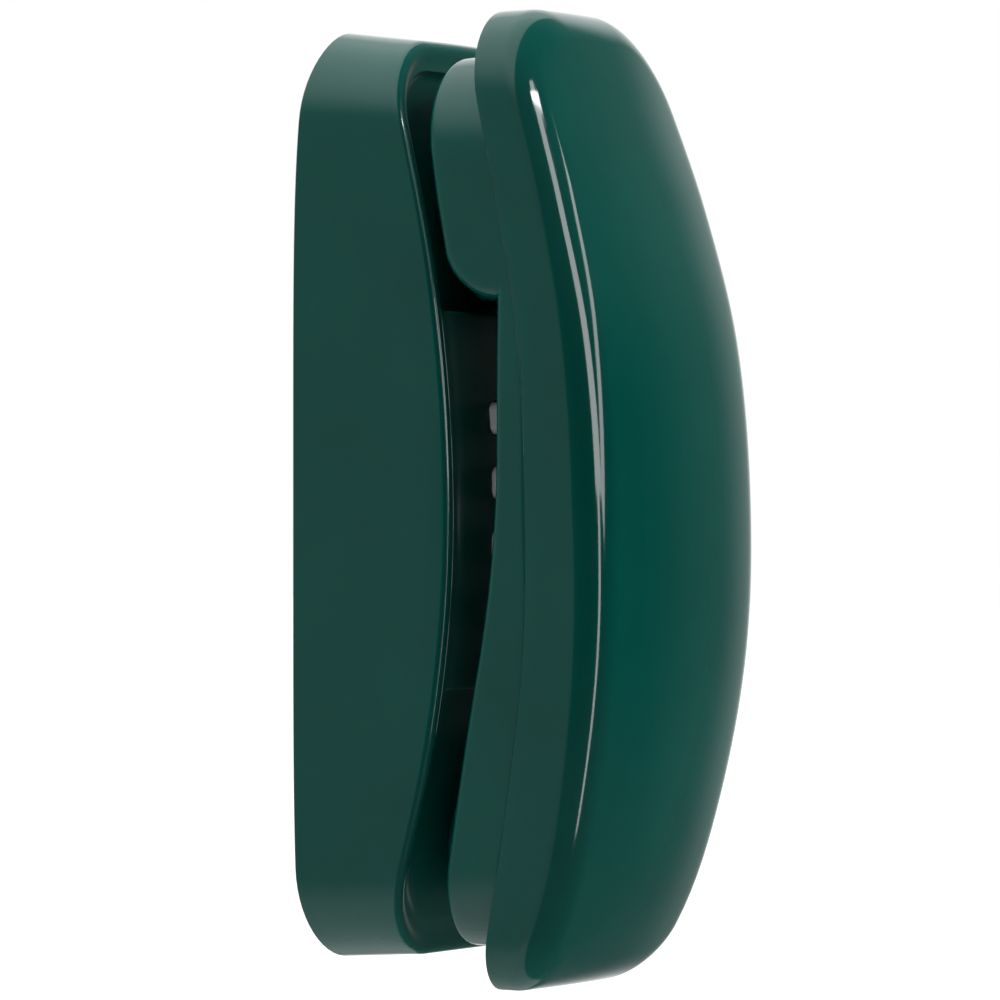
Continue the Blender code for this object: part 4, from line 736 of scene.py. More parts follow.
class TELEPHONE_OT_base_shell(bpy.types.Operator):
    """Model the base: outer skin, rounded rim, the two wells and the keypad bed"""
    bl_idname = "telephone.base_shell"
    bl_label = "Base shell"

    def execute(self, context):
        edge = sizes().rim_edge
        rows = floor_rows()
        across = 24
        outer = Outline(-BASE_HALF, BASE_HALF, BASE_CORNERS, lambda inset: rows, across)
        inner = Outline(WELL_TRIM - BASE_HALF, BASE_HALF - WELL_TRIM,
                        [corner - WELL_TRIM for corner in BASE_CORNERS], lambda inset: rows, across)

        def lay(form, inset, depth_at):
            flat = narrowed(form.ring(inset), -BASE_HALF, BASE_HALF, BASE_NARROWING, BASE_POWERS)
            if form is outer:
                flat = [(x, arched(x, z)) for x, z in flat]
            return [base_spot(x, depth_at(z), z) for x, z in flat]

        def ceiling(z):
            return min(floor_depth(z), rim_depth(z) - edge) - FLOOR_WALL

        # Inside of the shell, from its ceiling out to the back edge
        made = start_ring("base_shell", lay(inner, CAVITY_WALL + CAVITY_EDGE, ceiling))
        for form, inset, depth_at in (
                (inner, CAVITY_WALL, lambda z: ceiling(z) - CAVITY_EDGE),
                (inner, CAVITY_WALL, lambda z: PLATE_ROOM),
                (outer, WALL, lambda z: PLATE_ROOM),
                (outer, WALL, lambda z: BACK_INSET),
                (outer, BACK_ROUND, lambda z: BACK_INSET)):
            next_ring(made, lay(form, inset, depth_at))

        # Up the side and round the rim's outer edge
        for share in (0.0, 0.25, 0.5, 0.75):
            next_ring(made, lay(outer, 0.0, lambda z: (
                BACK_INSET + BACK_ROUND + (rim_depth(z) - edge - BACK_INSET) * share)))
        for turn in quarter(8):
            next_ring(made, lay(outer, edge * (1 - math.cos(turn)),
                                lambda z: rim_depth(z) - edge * (1 - math.sin(turn))))

        # Over the rim and down into the recess
        lip = WELL_WALL - edge
        lip_drop = BED_BELOW_RIM * 0.9
        for turn in quarter(6)[1:]:
            inset = edge + lip * math.sin(turn)

            def over(z):
                return rim_depth(z) - min(lip * (1 - math.cos(turn)), lip_drop)
            share = math.sin(turn) ** 2
            next_ring(made, blend(lay(outer, inset, over), lay(inner, inset, over), share))

        def foot(z, rise):
            return min(stepped(z) + rise, rim_depth(z) - min(lip, lip_drop))
        for turn in quarter(6):
            next_ring(made, lay(inner, WELL_WALL + WELL_FILLET * (1 - math.cos(turn)),
                                lambda z: foot(z, WELL_FILLET * (1 - math.sin(turn)))))
        fill_ring(made, inner.side_count(), across, lambda co: co)
        fill_open_ring(made, inner.side_count(), across, lambda co: co)
        close_form(made, 35.0)
        self.open_holes(made)
        close_form(made, 35.0)
        dress(made, "shell")
        self.paint_well_shade(made)
        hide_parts("base_housing")
        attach(made, "base")
        return {"FINISHED"}

    def paint_well_shade(self, made):
        """Give the faces inside the rim the well's duller, rougher gloss, which paints shade into
        the dark recess.
        """
        made.data.materials.append(finish("well"))
        for face in made.data.polygons:
            x, y, z = face.center
            facing = face.normal.x * x + face.normal.z * z * 0.3
            # Faces inside the rim that face the front or inwards get the painted shade
            below_rim = -y < rim_depth(z) - WELL_SHADE_BELOW_RIM
            if below_rim and (face.normal.y < -0.6 or facing < 0):
                face.material_index = 1

    def open_holes(self, made):
        """Key openings, the hook tab's slot, the plunger's hole, the jack and the slider's slot."""
        tools = []
        for name in KEY_NAMES:
            low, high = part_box("key_" + name)
            middle = (low + high) / 2
            half_x = (high.x - low.x) / 2 - KEY_SIDE_FLANGE + GAP
            half_z = (high.z - low.z) / 2 - KEY_END_FLANGE + GAP
            front, back = KEY_HOLE_ENDS
            tools.append(block("key_hole", (middle.x - half_x, front, middle.z - half_z),
                               (middle.x + half_x, back, middle.z + half_z)))
            self.round_upright(tools[-1], KEY_HOLE_CORNER)
        low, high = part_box("hook_tab")
        tools.append(block("tab_slot", (low.x - GAP, low.y - GAP / 2, BED_TOP_Z - TAB_SLOT_REACH),
                           (high.x + GAP, high.y + GAP, BED_TOP_Z + TAB_SLOT_REACH)))
        low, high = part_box("hook_plunger")
        z = (low.z + high.z) / 2
        front, back = PLUNGER_HOLE_ENDS
        tools.append(rod("plunger_hole", (0.0, front, z), (0.0, back, z), PLUNGER_HOLE_RADIUS))
        low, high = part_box("cord_jack")
        tools.append(block("jack_hole", (low.x - GAP, low.y - GAP, JACK_HOLE_LOW),
                           (high.x + GAP, high.y + GAP, low.z + JACK_HOLE_DEPTH)))
        low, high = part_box("ringer_slider")
        tools.append(block("slider_hole", (WIDTH / 2 - SLIDER_HOLE_IN, low.y - GAP, low.z - GAP),
                           (WIDTH / 2 + SLIDER_HOLE_OUT, high.y + GAP,
                            high.z + SLIDER_TRAVEL + GAP)))
        cut_away(made, tools)

    def round_upright(self, tool, radius):
        """Bevel only the edges of a tool that run from the front to the wall."""
        pick(tool)
        bpy.ops.object.mode_set(mode="EDIT")
        bpy.ops.mesh.select_mode(type="EDGE")
        mesh = bmesh.from_edit_mesh(tool.data)
        for edge in mesh.edges:
            way = edge.verts[1].co - edge.verts[0].co
            edge.select = abs(way.y) > 0.9 * way.length
        mesh.select_flush_mode()
        bmesh.update_edit_mesh(tool.data)
        bpy.ops.mesh.bevel(offset=radius, segments=6)
        bpy.ops.object.mode_set(mode="OBJECT")
        rest()


class TELEPHONE_OT_keys(bpy.types.Operator):
    """Model the push buttons: one rounded cap with a dished face, copied, and the digits"""
    bl_idname = "telephone.keys"
    bl_label = "Push buttons"

    def execute(self, context):
        low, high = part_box("key_" + KEY_NAMES[0])
        start = (low + high) / 2
        pattern = self.cap("key_pattern", low, high)
        for name in KEY_NAMES:
            low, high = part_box("key_" + name)
            middle = (low + high) / 2
            made = copied(pattern, "button_" + name, middle - start)
            dress(made, "key")
            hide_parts("key_" + name)
            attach(made, "button_" + name)
            self.sign(name, middle, KEY_RISE - low.y - sizes().key_dish)
        bpy.data.objects.remove(pattern, do_unlink=True)
        return {"FINISHED"}

    def cap(self, name, low, high):
        """A button between its lowest and highest corner, with its flange at the back."""
        middle = (low + high) / 2
        half_x = (high.x - low.x) / 2 - KEY_SIDE_FLANGE
        half_z = (high.z - low.z) / 2 - KEY_END_FLANGE
        face = KEY_RISE - low.y
        back = -high.y
        across = 8
        form = Outline(-half_z, half_z, (KEY_CORNER, KEY_CORNER), lambda inset: [], across,
                       half_x, 6)

        def lay(inset, depth):
            return [(middle.x + x, -depth, middle.z + z) for x, z in form.ring(inset)]
        made = start_ring(name, lay(-KEY_END_FLANGE, back))
        next_ring(made, lay(-KEY_END_FLANGE, back + KEY_FLANGE_THICKNESS))
        next_ring(made, lay(0.0, back + KEY_FLANGE_THICKNESS))
        next_ring(made, lay(0.0, back + KEY_SHOULDER))
        for turn in quarter(6):
            next_ring(made, lay(KEY_EDGE * (1 - math.cos(turn)),
                                face - KEY_EDGE * (1 - math.sin(turn))))
        dish = sizes().key_dish
        rim_drop = dish * 0.1
        next_ring(made, lay(KEY_RIM, face - rim_drop))

        def dished(co):
            x = (co.x - middle.x) / (half_x - KEY_RIM)
            z = (co.z - middle.z) / (half_z - KEY_RIM)
            hollow = dish * max(0.0, 1 - x * x) * max(0.0, 1 - z * z) + rim_drop
            return Vector((co.x, -face + hollow, co.z))
        fill_ring(made, form.side_count(), across, dished)
        fill_open_ring(made, form.side_count(), across, lambda co: co)
        close_form(made, 50.0)
        return made

    def sign(self, name, middle, depth):
        """The digit as a thin raised print in the middle of the key."""
        rest()
        bpy.ops.object.text_add(location=(middle.x, SIGN_STAND - depth, middle.z),
                                rotation=(math.radians(90), 0.0, 0.0))
        made = bpy.context.object
        made.name = "digit_" + name
        words = made.data
        words.body = KEY_SIGNS.get(name, name)
        words.size = sizes().sign_height
        words.align_x = "CENTER"
        words.align_y = "CENTER"
        words.extrude = SIGN_THICKNESS
        words.resolution_u = 6
        bpy.ops.object.convert(target="MESH")
        made = bpy.context.object
        settle_object(made)
        points = [vertex.co for vertex in made.data.vertices]
        low = Vector(min(point[axis] for point in points) for axis in range(3))
        high = Vector(max(point[axis] for point in points) for axis in range(3))
        shift = Vector((middle.x - (low.x + high.x) / 2, 0.0, middle.z - (low.z + high.z) / 2))
        made.data.transform(Matrix.Translation(shift))
        dress(made, "sign")
        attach(made, "button_" + name)


# Pieces of the handset

def in_handset(points):
    return narrowed(points, HANDSET_LOW, HANDSET_HIGH, HANDSET_NARROWING, HANDSET_POWERS)


def lay_handset(form, inset, depth_at):
    flat = in_handset(form.ring(inset))
    return [(x, -depth_at(x, z), z) for x, z in flat]


def spread(low, high, corners, steps):
    """Evenly spaced heights for the straight part of an outline's sides."""
    return even(low + corners[0], high - corners[1], steps)[1:-1]


class TELEPHONE_OT_cover_shell(bpy.types.Operator):
    """Model the handset's crowned front shell"""
    bl_idname = "telephone.cover_shell"
    bl_label = "Handset front shell"

    def execute(self, context):
        edge = sizes().front_edge
        small = sizes().seam_edge
        across = 28
        rows = spread(HANDSET_LOW, HANDSET_HIGH, HANDSET_CORNERS, COVER_STEPS)
        body_rows = spread(BODY_LOW, BODY_HIGH, BODY_CORNERS, COVER_STEPS)
        form = Outline(HANDSET_LOW, HANDSET_HIGH, HANDSET_CORNERS, lambda inset: rows, across)
        opening = Outline(BODY_LOW, BODY_HIGH, BODY_CORNERS, lambda inset: body_rows, across)
        inner = edge * 0.75

        def seam(x, z):
            return seam_depth(z)

        def flange(x, z):
            return seam_depth(z) + FLANGE
        made = start_ring("cover_shell", lay_handset(
            form, COVER_WALL + inner, lambda x, z: front_depth(x, z) - COVER_WALL))
        next_ring(made, lay_handset(form, COVER_WALL,
                                    lambda x, z: front_depth(x, z) - COVER_WALL - inner))
        next_ring(made, lay_handset(form, COVER_WALL, flange))
        next_ring(made, lay_handset(opening, OPENING_INSET, flange))
        next_ring(made, lay_handset(opening, OPENING_INSET, seam))
        next_ring(made, lay_handset(form, small * 3, seam))
        for turn in quarter(4):
            next_ring(made, lay_handset(form, small * (1 - math.sin(turn)),
                                        lambda x, z: seam_depth(z) + small * (1 - math.cos(turn))))
        for share in (0.3, 0.6, 0.85):
            next_ring(made, lay_handset(form, 0.0, lambda x, z: (
                seam_depth(z) + (front_depth(x, z) - edge - seam_depth(z)) * share)))
        for turn in quarter(20):
            next_ring(made, lay_handset(form, edge * (1 - math.cos(turn)), lambda x, z: (
                front_depth(x, z) - edge * (1 - math.sin(turn)))))
        fill_ring(made, form.side_count(), across, lambda co: (
            Vector((co.x, -front_depth(co.x, co.z), co.z))))
        fill_open_ring(made, form.side_count(), across, lambda co: (
            Vector((co.x, COVER_WALL - front_depth(co.x, co.z), co.z))))
        close_form(made, 38.0)
        dress(made, "shell")
        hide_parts("handset_cover")
        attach(made, "handset")
        return {"FINISHED"}


def step_rise(x):
    """How far the ear block's lower edge curves up towards the handset's sides."""
    radius = sizes().step_corner
    beyond = max(abs(x) - (WIDTH / 2 - radius), 0.0)
    return radius - math.sqrt(max(radius * radius - beyond * beyond, 0.0))


def side_corner(z, depth):
    """How much further out the ear block's lower corner is at the handset's sides."""
    up = (z - STEP_Z) / EAR_CORNER[0]
    if not 0 < up < 1:
        return 0.0
    out = EAR_CORNER[1] * (1 - math.sqrt(1 - (1 - up) ** 2))
    return max(0.0, min(ear_depth(z) + out, GRIP_DEPTH - EAR_CORNER_BELOW_GRIP) - depth)


def back_rows():
    """Rows of the handset's back: height and depth at the middle, share of the step's curve."""
    fade_below, fade_above = STEP_FADES
    grip_steps, ear_steps = BACK_STEPS
    foot = STEP_Z - STEP_FOOT
    top = STEP_Z + STEP_RISE + STEP_LIP
    face = ear_depth(STEP_Z)
    rows = [(z, slope_depth(z), ease(1 - (STEP_Z - z) / fade_below))
            for z in even(BODY_LOW + BODY_CORNERS[0], foot, grip_steps)[1:]]
    rows += [(STEP_Z - STEP_FOOT * (1 - math.sin(turn)),
              GRIP_DEPTH - STEP_FOOT * (1 - math.cos(turn)), 1.0) for turn in quarter(4)[1:]]
    rows += [(STEP_Z + STEP_RISE + STEP_LIP * (1 - math.cos(turn)),
              face + STEP_LIP * (1 - math.sin(turn)), 1.0) for turn in quarter(5)]
    rows += [(z, ear_depth(z), ease(1 - (z - STEP_Z) / fade_above))
             for z in even(top, BODY_HIGH - BODY_CORNERS[1], ear_steps)[1:-1]]
    return rows


class TELEPHONE_OT_back_shell(bpy.types.Operator):
    """Model the handset's back shell: grip, ear block with its step, and mouth slope"""
    bl_idname = "telephone.back_shell"
    bl_label = "Handset back shell"

    def execute(self, context):
        small = sizes().seam_edge
        across = 28
        rows = back_rows()

        def sides(inset):
            return [z + share * step_rise(WIDTH / 2 - inset) for z, depth, share in rows]
        form = Outline(BODY_LOW, BODY_HIGH, BODY_CORNERS, sides, across)
        count = form.side_count()
        start = form.corner_steps + 1

        def lay(inset, rise):
            """Ring that stands off the back by rise; each side point takes its own row's depth."""
            flat = form.ring(inset)
            spots = []
            for index, (x, z) in enumerate(flat):
                row = min(index, 2 * count + across - 2 - index) - start
                if 0 <= row < len(rows):
                    depth = rows[row][1] + side_corner(*rows[row][:2])
                else:
                    depth = ear_depth(z) if z > 0 else slope_depth(z)
                spots.append(depth + rise)
            flat = in_handset(flat)
            return [(x, -depth, z) for (x, z), depth in zip(flat, spots)]

        def lay_seam(inset, behind):
            flat = in_handset(form.ring(inset))
            return [(x, behind - seam_depth(z), z) for x, z in flat]

        inner, lip = BODY_LIP_INSETS
        made = start_ring("back_shell", lay_seam(inner, SEAM_GAP - BODY_LIP_DEPTH))
        next_ring(made, lay_seam(lip, SEAM_GAP - BODY_LIP_DEPTH))
        next_ring(made, lay_seam(lip, SEAM_GAP))
        for turn in quarter(4):
            next_ring(made, lay_seam(small * (1 - math.sin(turn)),
                                     SEAM_GAP + small * (1 - math.cos(turn))))
        seam = lay_seam(0.0, SEAM_GAP + small)
        for share in (0.25, 0.5, 0.75):
            next_ring(made, blend(seam, lay(0.0, BACK_EDGE), share))
        for turn in quarter(8):
            next_ring(made, lay(BACK_EDGE * (1 - math.cos(turn)), BACK_EDGE * (1 - math.sin(turn))))
        border = [(z, depth, share, z + share * step_rise(WIDTH / 2 - BACK_EDGE),
                   side_corner(z, depth)) for z, depth, share in rows]

        def settle(co):
            """Lay a point of the back on its row; one that lies on no row stays."""
            z, depth, share, side_z, out = min(border, key=lambda row: (
                abs(row[3] - co.z) + abs(row[1] + row[4] + co.y)))
            if abs(side_z - co.z) + abs(depth + out + co.y) > MERGE * 5:
                return co
            out *= ease((abs(co.x) - EAR_CORNER_START) / EAR_CORNER_REACH)
            return Vector((co.x, -depth - out, z + share * step_rise(co.x)))
        fill_ring(made, count, across, settle)
        fill_open_ring(made, count, across, lambda co: co)
        close_form(made, 40.0)
        self.open_holes(made)
        close_form(made, 40.0)
        dress(made, "shell")
        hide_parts("handset_body")
        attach(made, "handset")
        return {"FINISHED"}

    def open_holes(self, made):
        """Recesses for the two screws and the cord jack."""
        tools = []
        for name in ("handset_screw_upper", "handset_screw_lower"):
            low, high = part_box(name)
            z = (low.z + high.z) / 2
            out, inwards = SCREW_RECESS_ENDS
            tools.append(rod("screw_recess", (0.0, high.y + out, z), (0.0, high.y - inwards, z),
                             SCREW_RECESS_RADIUS))
        low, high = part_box("handset_jack")
        tools.append(block("jack_hole", (low.x - GAP, low.y - GAP, BODY_JACK_HOLE_LOW),
                           (high.x + GAP, high.y + GAP, low.z + BODY_JACK_HOLE_DEPTH)))
        cut_away(made, tools)


class TELEPHONE_OT_cups(bpy.types.Operator):
    """Model the ear cup and the mouth cup with their sound holes"""
    bl_idname = "telephone.cups"
    bl_label = "Ear and mouth cups"

    def execute(self, context):
        self.cup("ear_cup", EAR_CUP, EAR_CIRCLES)
        self.cup("mouth_cup", MOUTH_CUP, MOUTH_CIRCLES)
        return {"FINISHED"}

    def cup(self, name, form, circles):
        depth, z, slope, radius, projection = form
        lean = math.atan(slope)
        profile = [(0.0, 0.0), (radius * 0.35, 0.0), (radius * 0.7, 0.0)]
        for turn in quarter(8):
            profile.append((radius - CUP_EDGE + CUP_EDGE * math.sin(turn),
                            -CUP_EDGE + CUP_EDGE * math.cos(turn)))
        profile.append((radius, -projection + CUP_FLARE * 2))
        for turn in quarter(4)[1:]:
            profile.append((radius + CUP_FLARE * (1 - math.cos(turn)),
                            -projection + CUP_FLARE * (1 - math.sin(turn))))
        profile += [(radius + CUP_FLARE, -projection - CUP_ROOT),
                    (radius - CUP_WALL, -projection - CUP_ROOT),
                    (radius - CUP_WALL, -CUP_WALL), (0.0, -CUP_WALL)]
        centre = Vector((0.0, -depth, z))
        made = turned_form(name, profile, centre, lean)

        # The middle hole, and circles of six, twelve and so on about it
        axis = Vector((0.0, math.cos(lean), -math.sin(lean)))
        up = Vector((0.0, math.sin(lean), math.cos(lean)))
        spots = [centre]
        for ring, circle in enumerate(circles):
            count = HOLES_IN_FIRST_CIRCLE * (ring + 1)
            for step in range(count):
                turn = math.tau * (step + 0.3) / count
                spots.append(centre + Vector((circle * math.cos(turn), 0.0, 0.0))
                             + up * circle * math.sin(turn))
        before, beyond = SOUND_HOLE_ENDS
        tools = [rod("sound_hole", spot - axis * before, spot + axis * beyond,
                     SOUND_HOLE_RADIUS, 20) for spot in spots]
        if name == "ear_cup":
            low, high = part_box("hook_tab")
            side, front, down = TAB_ROOM_LOW
            low = Vector((low.x - side, low.y - front, BED_TOP_Z - down))
            side, back, up = TAB_ROOM_HIGH
            high = Vector((high.x + side, high.y + back, BED_TOP_Z + up))
            tools.append(block("tab_slot", low, high))
        cut_away(made, tools)
        close_form(made, 35.0)
        dress(made, "shell")
        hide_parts("handset_body")
        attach(made, "handset")


# Small pieces

class TELEPHONE_OT_jack_contacts(bpy.types.Operator):
    """Model the sprung gold contact wires inside the three jacks"""
    bl_idname = "telephone.jack_contacts"
    bl_label = "Jack contacts"

    def execute(self, context):
        self.wires("line_jack", "base", Vector((0.0, -1.0, 0.0)), Vector((0.0, 0.0, -1.0)))
        self.wires("cord_jack", "base", Vector((0.0, 0.0, 1.0)), Vector((0.0, 1.0, 0.0)))
        self.wires("handset_jack", "handset", Vector((0.0, 0.0, 1.0)), Vector((0.0, -1.0, 0.0)))
        return {"FINISHED"}

    def wires(self, node, body, inward, down):
        """Four bent wires from a jack's mouth to its back, on the side without a latch."""
        low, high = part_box(node)
        middle = (low + high) / 2
        half = abs((high - low).dot(inward)) / 2
        mouth = middle - inward * half
        across = inward.cross(down)
        inset, side = WIRE_START
        start = mouth + inward * inset + down * side - across * WIRE_PITCH * 1.5
        rest()
        bpy.ops.curve.primitive_bezier_curve_add()
        wire = bpy.context.object
        wire.data.dimensions = "3D"
        wire.data.bevel_depth = WIRE_RADIUS
        wire.data.bevel_resolution = 3
        wire.data.use_fill_caps = True
        first, last = wire.data.splines[0].bezier_points
        first.co = start
        last.co = start + inward * WIRE_RUN - down * WIRE_SLOPE
        back, drop = WIRE_BACK_BEND
        first.handle_left = first.co - inward * WIRE_ENDS
        first.handle_right = first.co + inward * WIRE_MOUTH_BEND
        last.handle_left = last.co - inward * back + down * drop
        last.handle_right = last.co + inward * WIRE_ENDS
        bpy.ops.object.convert(target="MESH")
        wire = bpy.context.object
        settle_object(wire)
        parts = [wire] + [copied(wire, node + "_wire", across * WIRE_PITCH * step)
                          for step in (1, 2, 3)]
        pick(*parts)
        bpy.ops.object.join()
        made = bpy.context.object
        made.name = node + "_contacts"
        settle_object(made)
        close_form(made, 40.0)
        dress(made, "contact")
        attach(made, body)


FINISH_OF_SLOT = {
    "green_plastic": "shell", "dark_green_plastic": "plate", "white_plastic": "key",
    "black_plastic": "black", "board_laminate": "board_laminate", "rubber": "rubber",
    "foam": "foam", "steel": "steel",
}


class TELEPHONE_OT_node_finishes(bpy.types.Operator):
    """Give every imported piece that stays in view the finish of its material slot"""
    bl_idname = "telephone.node_finishes"
    bl_label = "Finishes of packed pieces"

    def execute(self, context):
        slots = {part["node"]: part["material_slot"] for part in frame["record"]["subparts"]}
        for name, node in frame["nodes"].items():
            node.data.materials.clear()
            node.data.materials.append(finish(FINISH_OF_SLOT[slots[name]]))
        return {"FINISHED"}


# Stage

DOWN = (0.0, 0.0, -1.0)
AWAY = (0.84, 0.54, 0.0)    # from the camera, past the telephone

# What the gloss sees in a direction: the share of it where each part starts, where it is full,
# and its level. Paper stands all round but for a dark room about the camera
PAPER_EDGE = (0.42, 0.48, 1.0)
PAPER_ABOVE = (0.40, 0.85, 1.1)
PAPER_UNDER = (0.35, 0.75, 0.35)
PAPER_LEVEL = 0.30
LEAN_ABOVE = (0.0, 0.32, 0.38)
LEAN_UNDER = (0.0, 0.32, 0.32)
LEAN_UNDER_SIDE = (0.80, 0.62, 1.0)
WINDOW = (0.56, 0.80, 1.1)
WINDOW_FOOT = (-0.55, -0.10, 1.0)
HAZE_SIDE = (0.20, 0.60, 0.13)
HAZE_ABOVE = (0.10, 0.50, 0.08)
HAZE_UNDER = (0.10, 0.50, 0.10)
ROOM_LEVEL = 0.012

# Even light on dull surfaces, and white for what the camera sees behind the telephone
SOFT_LEVEL = 0.25
WHITE_LEVEL = 1.0
FLOOR_Z = -0.75
FLOOR_GLOW = (1.0, 3.0, 0.30)

CAMERA_SPOT = (-1.00850, -0.68830, 0.0011)
CAMERA_TURN = -57
CAMERA_LENS = 192.3
CAMERA_SHIFT = -0.00875


class TELEPHONE_OT_stage(bpy.types.Operator):
    """Set the pale floor, the soft lights, the white surround and the camera"""
    bl_idname = "telephone.stage"
    bl_label = "Stage"

    def execute(self, context):
        self.floor()
        self.surround()
        self.lights()
        self.camera()
        context.scene.view_settings.view_transform = "Standard"
        return {"FINISHED"}

    def floor(self):
        rest()
        bpy.ops.mesh.primitive_plane_add(size=60.0, location=(0.0, 0.0, FLOOR_Z))
        made = bpy.context.object
        made.name = "floor"
        material, nodes, links, shader = new_material("floor_paint")
        place = nodes.new("ShaderNodeTexCoord")
        soft = noise(nodes, links, place, 3.0)
        tinted(nodes, links, soft, (0.90, 0.90, 0.90), (0.93, 0.93, 0.93),
               shader.inputs["Base Color"])
        shader.inputs["Roughness"].default_value = 0.7
        shader.inputs["Specular IOR Level"].default_value = 0.0
        glow = nodes.new("ShaderNodeEmission")
        reach = nodes.new("ShaderNodeVectorMath")
        reach.operation = "LENGTH"
        links.new(place.outputs["Object"], reach.inputs[0])
        far = nodes.new("ShaderNodeMapRange")
        far.interpolation_type = "SMOOTHSTEP"
        near_edge, far_edge, near_level = FLOOR_GLOW
        far.inputs["From Min"].default_value = near_edge
        far.inputs["From Max"].default_value = far_edge
        far.inputs["To Min"].default_value = near_level
        far.inputs["To Max"].default_value = WHITE_LEVEL
        links.new(reach.outputs["Value"], far.inputs["Value"])
        path = nodes.new("ShaderNodeLightPath")
        seen = nodes.new("ShaderNodeMath")
        seen.operation = "MULTIPLY"
        links.new(path.outputs["Is Camera Ray"], seen.inputs[0])
        links.new(far.outputs["Result"], seen.inputs[1])
        links.new(seen.outputs[0], glow.inputs["Strength"])
        both = nodes.new("ShaderNodeAddShader")
        links.new(shader.outputs["BSDF"], both.inputs[0])
        links.new(glow.outputs["Emission"], both.inputs[1])
        links.new(both.outputs["Shader"], nodes["Material Output"].inputs["Surface"])
        made.visible_glossy = False
        made.data.materials.append(material)

    def surround(self):
        """White behind everything that is seen, and a soft studio round the telephone."""
        world = bpy.data.worlds.new("studio")
        bpy.context.scene.world = world
        world.use_nodes = True
        nodes = world.node_tree.nodes
        links = world.node_tree.links
        ground = nodes["Background"]
        way = nodes.new("ShaderNodeTexCoord")
        apart = nodes.new("ShaderNodeSeparateXYZ")
        links.new(way.outputs["Generated"], apart.inputs["Vector"])
        side, front, height = (apart.outputs[axis] for axis in "XYZ")

        def ramp(source, levels, kind="SMOOTHSTEP"):
            """Rises from nothing at the first of three levels to the third at the second."""
            low, high, level = levels
            step = nodes.new("ShaderNodeMapRange")
            step.interpolation_type = kind
            step.inputs["From Min"].default_value = low
            step.inputs["From Max"].default_value = high
            step.inputs["To Min"].default_value = 0.0
            step.inputs["To Max"].default_value = level
            links.new(source, step.inputs["Value"])
            return step.outputs["Result"]

        def towards(direction):
            aim = nodes.new("ShaderNodeVectorMath")
            aim.operation = "DOT_PRODUCT"
            aim.inputs[1].default_value = Vector(direction).normalized()
            links.new(way.outputs["Generated"], aim.inputs[0])
            return aim.outputs["Value"]

        def total(first, second, operation="ADD"):
            step = nodes.new("ShaderNodeMath")
            step.operation = operation
            links.new(first, step.inputs[0])
            links.new(second, step.inputs[1])
            return step.outputs[0]

        def raised(source, level):
            step = nodes.new("ShaderNodeMath")
            step.operation = "ADD"
            step.inputs[1].default_value = level
            links.new(source, step.inputs[0])
            return step.outputs[0]

        def mixed(share, first, second):
            """Value from first to second by share; one of the two is a plain number."""
            step = nodes.new("ShaderNodeMix")
            step.data_type = "FLOAT"
            links.new(share, step.inputs[0])
            for place, value in ((2, first), (3, second)):
                if isinstance(value, float):
                    step.inputs[place].default_value = value
                else:
                    links.new(value, step.inputs[place])
            return step.outputs[0]

        # The room's left wall leans away above and below the camera's height
        under = towards(DOWN)
        leaning = total(ramp(under, LEAN_UNDER, "LINEAR"), ramp(side, LEAN_UNDER_SIDE), "MULTIPLY")
        leaning = total(ramp(height, LEAN_ABOVE, "LINEAR"), leaning)
        level = raised(total(ramp(height, PAPER_ABOVE), ramp(under, PAPER_UNDER)), PAPER_LEVEL)
        paper = total(ramp(total(front, leaning), PAPER_EDGE), level, "MULTIPLY")
        behind = towards(AWAY)
        window = total(ramp(behind, WINDOW), ramp(height, WINDOW_FOOT), "MULTIPLY")
        window = total(total(window, ramp(behind, HAZE_SIDE)), ramp(height, HAZE_ABOVE))
        gloss = total(total(paper, window, "MAXIMUM"), ramp(under, HAZE_UNDER), "MAXIMUM")

        path = nodes.new("ShaderNodeLightPath")
        shiny = total(path.outputs["Is Glossy Ray"], path.outputs["Is Transmission Ray"], "MAXIMUM")
        dull = mixed(shiny, SOFT_LEVEL, raised(gloss, ROOM_LEVEL))
        seen = mixed(path.outputs["Is Camera Ray"], dull, WHITE_LEVEL)
        links.new(seen, ground.inputs["Strength"])
        ground.inputs["Color"].default_value = (1.0, 1.0, 1.0, 1.0)

    def lamp(self, name, spot, size, size_y, power, aim=(0.0, -0.04, 0.0), lean=None, soft=False):
        """An area light that faces the telephone. A soft one lights it without a reflection."""
        rest()
        spot = Vector(spot)
        away = (spot - Vector(aim)).normalized()
        upright = Vector(lean or (0.0, 0.0, 1.0))
        upright = (upright - away * upright.dot(away)).normalized()
        turn = Matrix((upright.cross(away), upright, away)).transposed()
        bpy.ops.object.light_add(type="AREA", location=spot, rotation=turn.to_euler())
        made = bpy.context.object
        made.name = name
        made.data.shape = "RECTANGLE"
        made.data.size = size
        made.data.size_y = size_y
        made.data.energy = power
        made.visible_camera = False
        made.visible_glossy = not soft
        made.visible_diffuse = soft

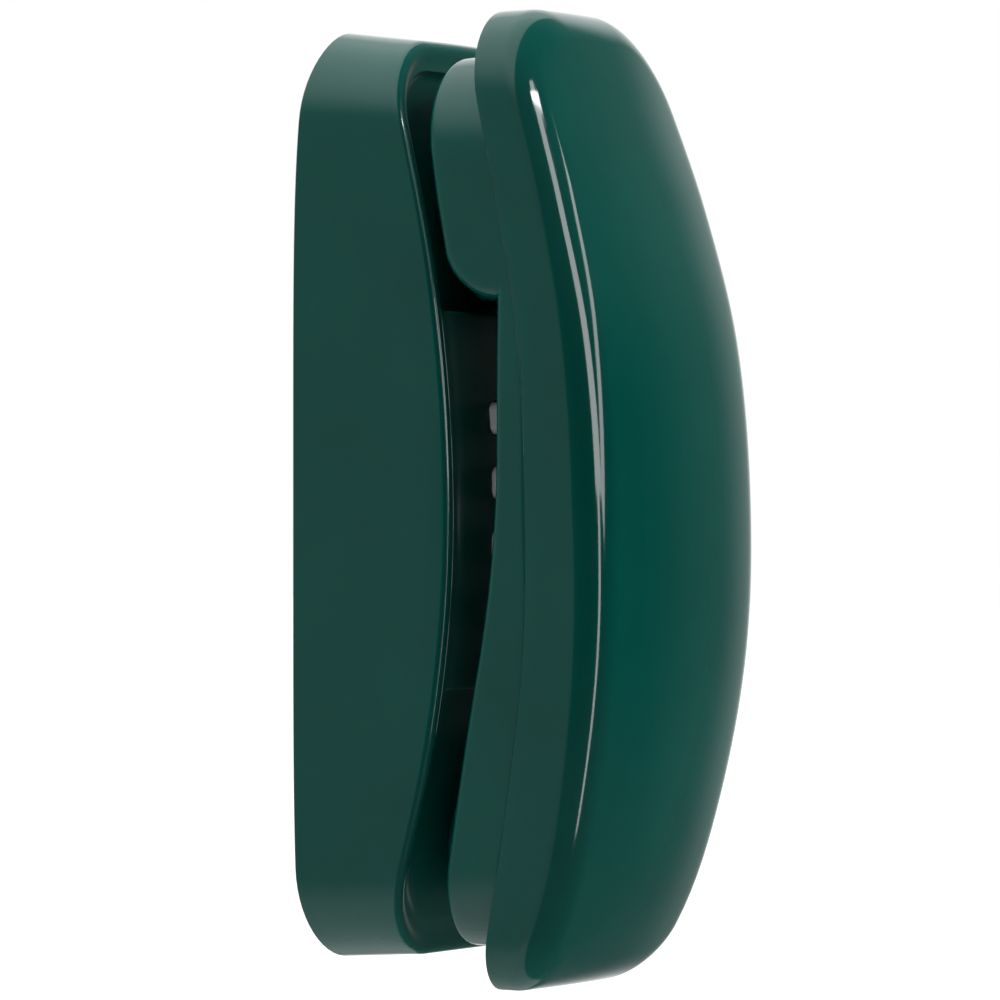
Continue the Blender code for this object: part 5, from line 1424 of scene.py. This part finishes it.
    def lights(self):
        self.lamp("left_soft", (-0.75, 1.25, 0.80), 1.0, 1.2, 19.5, soft=True)
        self.lamp("right_soft", (0.68, -1.20, 0.95), 1.0, 1.2, 30.0, soft=True)
        self.lamp("top_soft", (0.05, 0.25, 1.60), 0.5, 0.5, 26.0, soft=True)
        self.lamp("front_strip", (-0.35, -0.55, 0.44), 0.17, 0.82, 3.3, aim=(0.0, -0.06, 0.44))
        self.lamp("narrow_strip", (-0.36, -0.55, -0.19), 0.06, 0.44, 0.6, aim=(0.0, -0.06, -0.19))
        self.lamp("slanted_strip", (-0.04, -0.62, 0.22), 0.08, 0.66, 1.1,
                  aim=(0.0, -0.06, 0.03), lean=(0.66, 0.06, 0.58))
        self.lamp("bright_window", (-0.29, -0.50, 0.56), 0.26, 0.06, 1.8, aim=(-0.02, -0.06, 0.09))

    def camera(self):
        rest()
        bpy.ops.object.camera_add(location=CAMERA_SPOT,
                                  rotation=(math.radians(90), 0.0, math.radians(CAMERA_TURN)))
        made = bpy.context.object
        made.name = "photo_camera"
        made.data.sensor_width = 36.0
        made.data.lens = CAMERA_LENS
        made.data.shift_y = CAMERA_SHIFT
        made.data.clip_start = 0.01
        made.data.dof.use_dof = False
        bpy.context.scene.camera = made


STEPS = (TELEPHONE_OT_base_shell, TELEPHONE_OT_keys, TELEPHONE_OT_cover_shell,
         TELEPHONE_OT_back_shell, TELEPHONE_OT_cups, TELEPHONE_OT_jack_contacts,
         TELEPHONE_OT_node_finishes, TELEPHONE_OT_stage)


class TELEPHONE_PT_sidebar(bpy.types.Panel):
    """Lists the telephone's sizes, colours and modelling steps"""
    bl_idname = "TELEPHONE_PT_sidebar"
    bl_label = "Wall telephone"
    bl_space_type = "VIEW_3D"
    bl_region_type = "UI"
    bl_category = "Telephone"

    def draw(self, context):
        layout = self.layout
        for group in (context.scene.telephone_sizes, context.scene.telephone_colours):
            box = layout.box()
            for name in group.__annotations__:
                box.prop(group, name)
        for step in STEPS:
            layout.operator(step.bl_idname)


CLASSES = (TelephoneSizes, TelephoneColours, *STEPS, TELEPHONE_PT_sidebar)


def register():
    for each in CLASSES:
        bpy.utils.register_class(each)
    bpy.types.Scene.telephone_sizes = bpy.props.PointerProperty(type=TelephoneSizes)
    bpy.types.Scene.telephone_colours = bpy.props.PointerProperty(type=TelephoneColours)


def unregister():
    del bpy.types.Scene.telephone_colours
    del bpy.types.Scene.telephone_sizes
    for each in reversed(CLASSES):
        bpy.utils.unregister_class(each)


def main():
    register()
    bpy.ops.telephone.base_shell()
    bpy.ops.telephone.keys()
    bpy.ops.telephone.cover_shell()
    bpy.ops.telephone.back_shell()
    bpy.ops.telephone.cups()
    bpy.ops.telephone.jack_contacts()
    bpy.ops.telephone.node_finishes()
    bpy.ops.telephone.stage()


if __name__ == "__main__":
    main()
